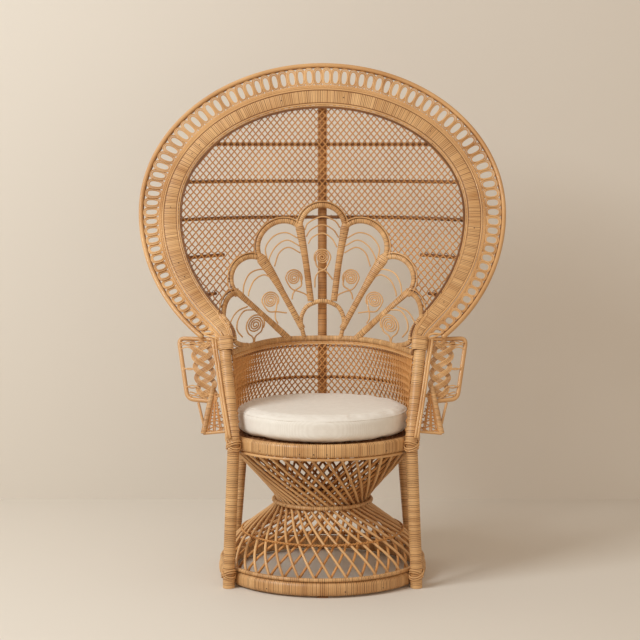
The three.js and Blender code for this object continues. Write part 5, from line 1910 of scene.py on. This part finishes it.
# Cushion
def swell(piece):
    """Blows the cloth out over its filling"""
    rest = places_of(piece.data)
    cloth = piece.modifiers.new("Cloth", "CLOTH")
    cloth.settings.use_pressure = True
    cloth.settings.uniform_pressure_force = CLOTH_PRESSURE
    cloth.settings.effector_weights.gravity = 0
    cloth.point_cache.frame_start = 1
    cloth.point_cache.frame_end = CLOTH_FRAMES
    for step in range(1, CLOTH_FRAMES + 1):
        bpy.context.scene.frame_set(step)
    choose(piece)
    bpy.ops.object.modifier_apply(modifier=cloth.name)
    bpy.context.scene.frame_set(1)
    moved = places_of(piece.data) - rest
    distance = np.linalg.norm(moved, axis=1, keepdims=True)
    kept = np.minimum(1, CUSHION_SWELL / np.maximum(distance, 1e-9))
    set_places(piece.data, rest + moved * kept)


def make_cushion():
    """A boxed round pad: cloth swollen over its filling, with a corded seam"""
    centre = Vector((0, AXIS_Y - CUSHION_SHIFT, SEAT_HIGH.z + FIT + CUSHION_HEIGHT / 2))
    deselect()
    bpy.ops.mesh.primitive_cylinder_add(
        vertices=96, radius=CUSHION_RADIUS - CUSHION_SHRINK, depth=CUSHION_HEIGHT - 2 * CUSHION_SHRINK,
        location=centre,
    )
    cushion = bpy.context.object
    bpy.ops.object.transform_apply(location=True, rotation=True, scale=True)
    apply_modifier(cushion, "BEVEL", width=CUSHION_ROUNDING, segments=6)
    apply_modifier(cushion, "REMESH", mode="VOXEL", voxel_size=CUSHION_VOXEL)
    swell(cushion)
    apply_modifier(cushion, "SUBSURF", levels=1, render_levels=1)
    co = places_of(cushion.data)
    co[:, 2] = np.maximum(co[:, 2], SEAT_HIGH.z + FIT)
    set_places(cushion.data, co)
    smooth(cushion)
    settle(cushion)
    finished(cushion, "cushion_cloth", linen_cloth(), ["cushion"], CUSHION)
    make_seam(cushion, centre)


def make_seam(cushion, centre):
    """The cord along the cushion's top edge, laid on the cloth"""
    co = places_of(cushion.data) - np.array(centre)
    level = CUSHION_HEIGHT / 2 - SEAM_DROP
    near = co[np.abs(co[:, 2] - level) < SEAM_SAMPLE]
    azimuth = np.arctan2(near[:, 0], -near[:, 1])
    order = np.argsort(azimuth)
    angle = np.linspace(-math.pi, math.pi, 160, endpoint=False)
    reach = np.interp(angle, azimuth[order], np.hypot(near[:, 0], near[:, 1])[order], period=2 * math.pi)
    reach = averaged(reach, "wrap")
    line = stacked(centre.x + reach * np.sin(angle), centre.y - reach * np.cos(angle), centre.z + level)
    rods("cushion_seam", [line], SEAM_CORD, linen_cloth(), ["cushion"], closed=True, body=CUSHION)


# Stage
def add_backdrop(name, place, scale, turn, material):
    deselect()
    bpy.ops.mesh.primitive_plane_add(size=1, location=place, rotation=(turn, 0, 0))
    piece = bpy.context.object
    piece.name = name
    piece.scale = scale
    piece.data.materials.append(material)


def add_light(name, place, size, power, colour):
    data = bpy.data.lights.new(name, "AREA")
    data.size = size
    data.energy = power
    data.color = colour
    light = bpy.data.objects.new(name, data)
    light.location = place
    aim = Vector(LIGHT_AIM) - Vector(place)
    light.rotation_euler = aim.to_track_quat("-Z", "Y").to_euler()
    bpy.context.scene.collection.objects.link(light)


def add_camera():
    data = bpy.data.cameras.new("Camera")
    data.lens = CAMERA_LENS
    data.sensor_width = CAMERA_SENSOR
    camera = bpy.data.objects.new("Camera", data)
    camera.location = (CAMERA_X, AXIS_Y - CAMERA_DISTANCE, CAMERA_Z)
    camera.rotation_euler = (math.pi / 2 - CAMERA_DROP, 0, 0)
    bpy.context.scene.collection.objects.link(camera)
    bpy.context.scene.camera = camera
    bpy.context.scene.view_settings.view_transform = "Standard"


def backdrop_material():
    """A matt finish that is clear from behind, so that the chair shows in views from the back"""
    material = bpy.data.materials.new("Backdrop")
    material.use_nodes = True
    nodes, links = material.node_tree.nodes, material.node_tree.links
    shader = nodes["Principled BSDF"]
    shader.inputs["Base Color"].default_value = rgba(colours().backdrop)
    shader.inputs["Roughness"].default_value = BACKDROP_ROUGHNESS
    seen = nodes.new("ShaderNodeMixShader")
    side = nodes.new("ShaderNodeNewGeometry")
    clear = nodes.new("ShaderNodeBsdfTransparent")
    links.new(side.outputs["Backfacing"], seen.inputs[0])
    links.new(shader.outputs["BSDF"], seen.inputs[1])
    links.new(clear.outputs["BSDF"], seen.inputs[2])
    links.new(seen.outputs["Shader"], nodes["Material Output"].inputs["Surface"])
    return material


def add_world():
    world = bpy.data.worlds.new("World")
    bpy.context.scene.world = world
    world.use_nodes = True
    background = world.node_tree.nodes["Background"]
    background.inputs["Color"].default_value = rgba(WORLD_COLOUR)
    background.inputs["Strength"].default_value = WORLD_STRENGTH


def make_stage():
    backdrop = backdrop_material()
    floor_size, wall_size = (STAGE_WIDTH, FLOOR_DEPTH, 1), (STAGE_WIDTH, WALL_HEIGHT, 1)
    add_backdrop("floor", (0, WALL_Y - FLOOR_DEPTH / 2, 0), floor_size, 0, backdrop)
    add_backdrop("wall", (0, WALL_Y, WALL_HEIGHT / 2), wall_size, math.pi / 2, backdrop)
    add_light("Key", *KEY_LIGHT)
    add_light("Fill", *FILL_LIGHT)
    add_world()
    add_camera()


# Operators
class MakeStage(bpy.types.Operator):
    """Adds the floor, the wall, the lights and the camera"""

    bl_idname = "peacock.stage"
    bl_label = "Stage"

    def execute(self, context):
        make_stage()
        return {"FINISHED"}


class MakeBase(bpy.types.Operator):
    """Makes the base: its wound bands, rings, glides and crossed rods"""

    bl_idname = "peacock.base"
    bl_label = "Base"

    def execute(self, context):
        make_base()
        return {"FINISHED"}


class MakeSeat(bpy.types.Operator):
    """Makes the seat's wound band and woven deck"""

    bl_idname = "peacock.seat"
    bl_label = "Seat"

    def execute(self, context):
        make_seat()
        return {"FINISHED"}


class MakePosts(bpy.types.Operator):
    """Makes the posts with their knuckles, piping and lashings, the rear legs and the spine"""

    bl_idname = "peacock.posts"
    bl_label = "Posts"

    def execute(self, context):
        make_posts()
        return {"FINISHED"}


class MakeHoop(bpy.types.Operator):
    """Makes the fan's wound band with its piping and beading"""

    bl_idname = "peacock.hoop"
    bl_label = "Hoop"

    def execute(self, context):
        make_hoop()
        return {"FINISHED"}


class MakeLace(bpy.types.Operator):
    """Makes the rim pole and the loops of the lace border"""

    bl_idname = "peacock.lace"
    bl_label = "Lace"

    def execute(self, context):
        make_lace()
        return {"FINISHED"}


class MakeLattice(bpy.types.Operator):
    """Weaves the fan's lattice and lays the rails behind it"""

    bl_idname = "peacock.lattice"
    bl_label = "Lattice"

    def execute(self, context):
        make_lattice()
        return {"FINISHED"}


class MakeFlower(bpy.types.Operator):
    """Makes the flower's ribs, scallops, hub and brows"""

    bl_idname = "peacock.flower"
    bl_label = "Flower"

    def execute(self, context):
        make_flower()
        return {"FINISHED"}


class MakeCoils(bpy.types.Operator):
    """Winds the spiral coils"""

    bl_idname = "peacock.coils"
    bl_label = "Coils"

    def execute(self, context):
        make_coils()
        return {"FINISHED"}


class MakeBarrel(bpy.types.Operator):
    """Makes the barrel's top rail and weaves its wall"""

    bl_idname = "peacock.barrel"
    bl_label = "Barrel"

    def execute(self, context):
        make_barrel()
        return {"FINISHED"}


class MakeWings(bpy.types.Operator):
    """Makes the wings outside the front posts"""

    bl_idname = "peacock.wings"
    bl_label = "Wings"

    def execute(self, context):
        for name, side in SIDES:
            make_wing(name, side)
        return {"FINISHED"}


class MakeNails(bpy.types.Operator):
    """Sets the small nail heads in the bands and the ribs"""

    bl_idname = "peacock.nails"
    bl_label = "Nails"

    def execute(self, context):
        make_nails()
        return {"FINISHED"}


class MakeCushion(bpy.types.Operator):
    """Fills the linen cushion"""

    bl_idname = "peacock.cushion"
    bl_label = "Cushion"

    def execute(self, context):
        make_cushion()
        return {"FINISHED"}


STEPS = (MakeStage, MakeBase, MakeSeat, MakePosts, MakeHoop, MakeLace, MakeLattice, MakeFlower, MakeCoils,
         MakeBarrel, MakeWings, MakeNails, MakeCushion)


class ChairPanel(bpy.types.Panel):
    """Lists the chair's sizes, colours and pieces"""

    bl_idname = "VIEW3D_PT_peacock_chair"
    bl_label = "Peacock chair"
    bl_space_type = "VIEW_3D"
    bl_region_type = "UI"
    bl_category = "Peacock chair"

    def draw(self, context):
        for group in (context.scene.chair_sizes, context.scene.chair_colours):
            box = self.layout.box()
            for name in group.__annotations__:
                box.prop(group, name)
        for step in STEPS:
            self.layout.operator(step.bl_idname)


CLASSES = (ChairSizes, ChairColours, *STEPS, ChairPanel)


def register():
    for kind in CLASSES:
        bpy.utils.register_class(kind)
    bpy.types.Scene.chair_sizes = bpy.props.PointerProperty(type=ChairSizes)
    bpy.types.Scene.chair_colours = bpy.props.PointerProperty(type=ChairColours)


def unregister():
    del bpy.types.Scene.chair_colours
    del bpy.types.Scene.chair_sizes
    for kind in reversed(CLASSES):
        bpy.utils.unregister_class(kind)


def main():
    register()
    for step in STEPS:
        getattr(bpy.ops.peacock, step.bl_idname.split(".")[1])()


if __name__ == "__main__":
    main()
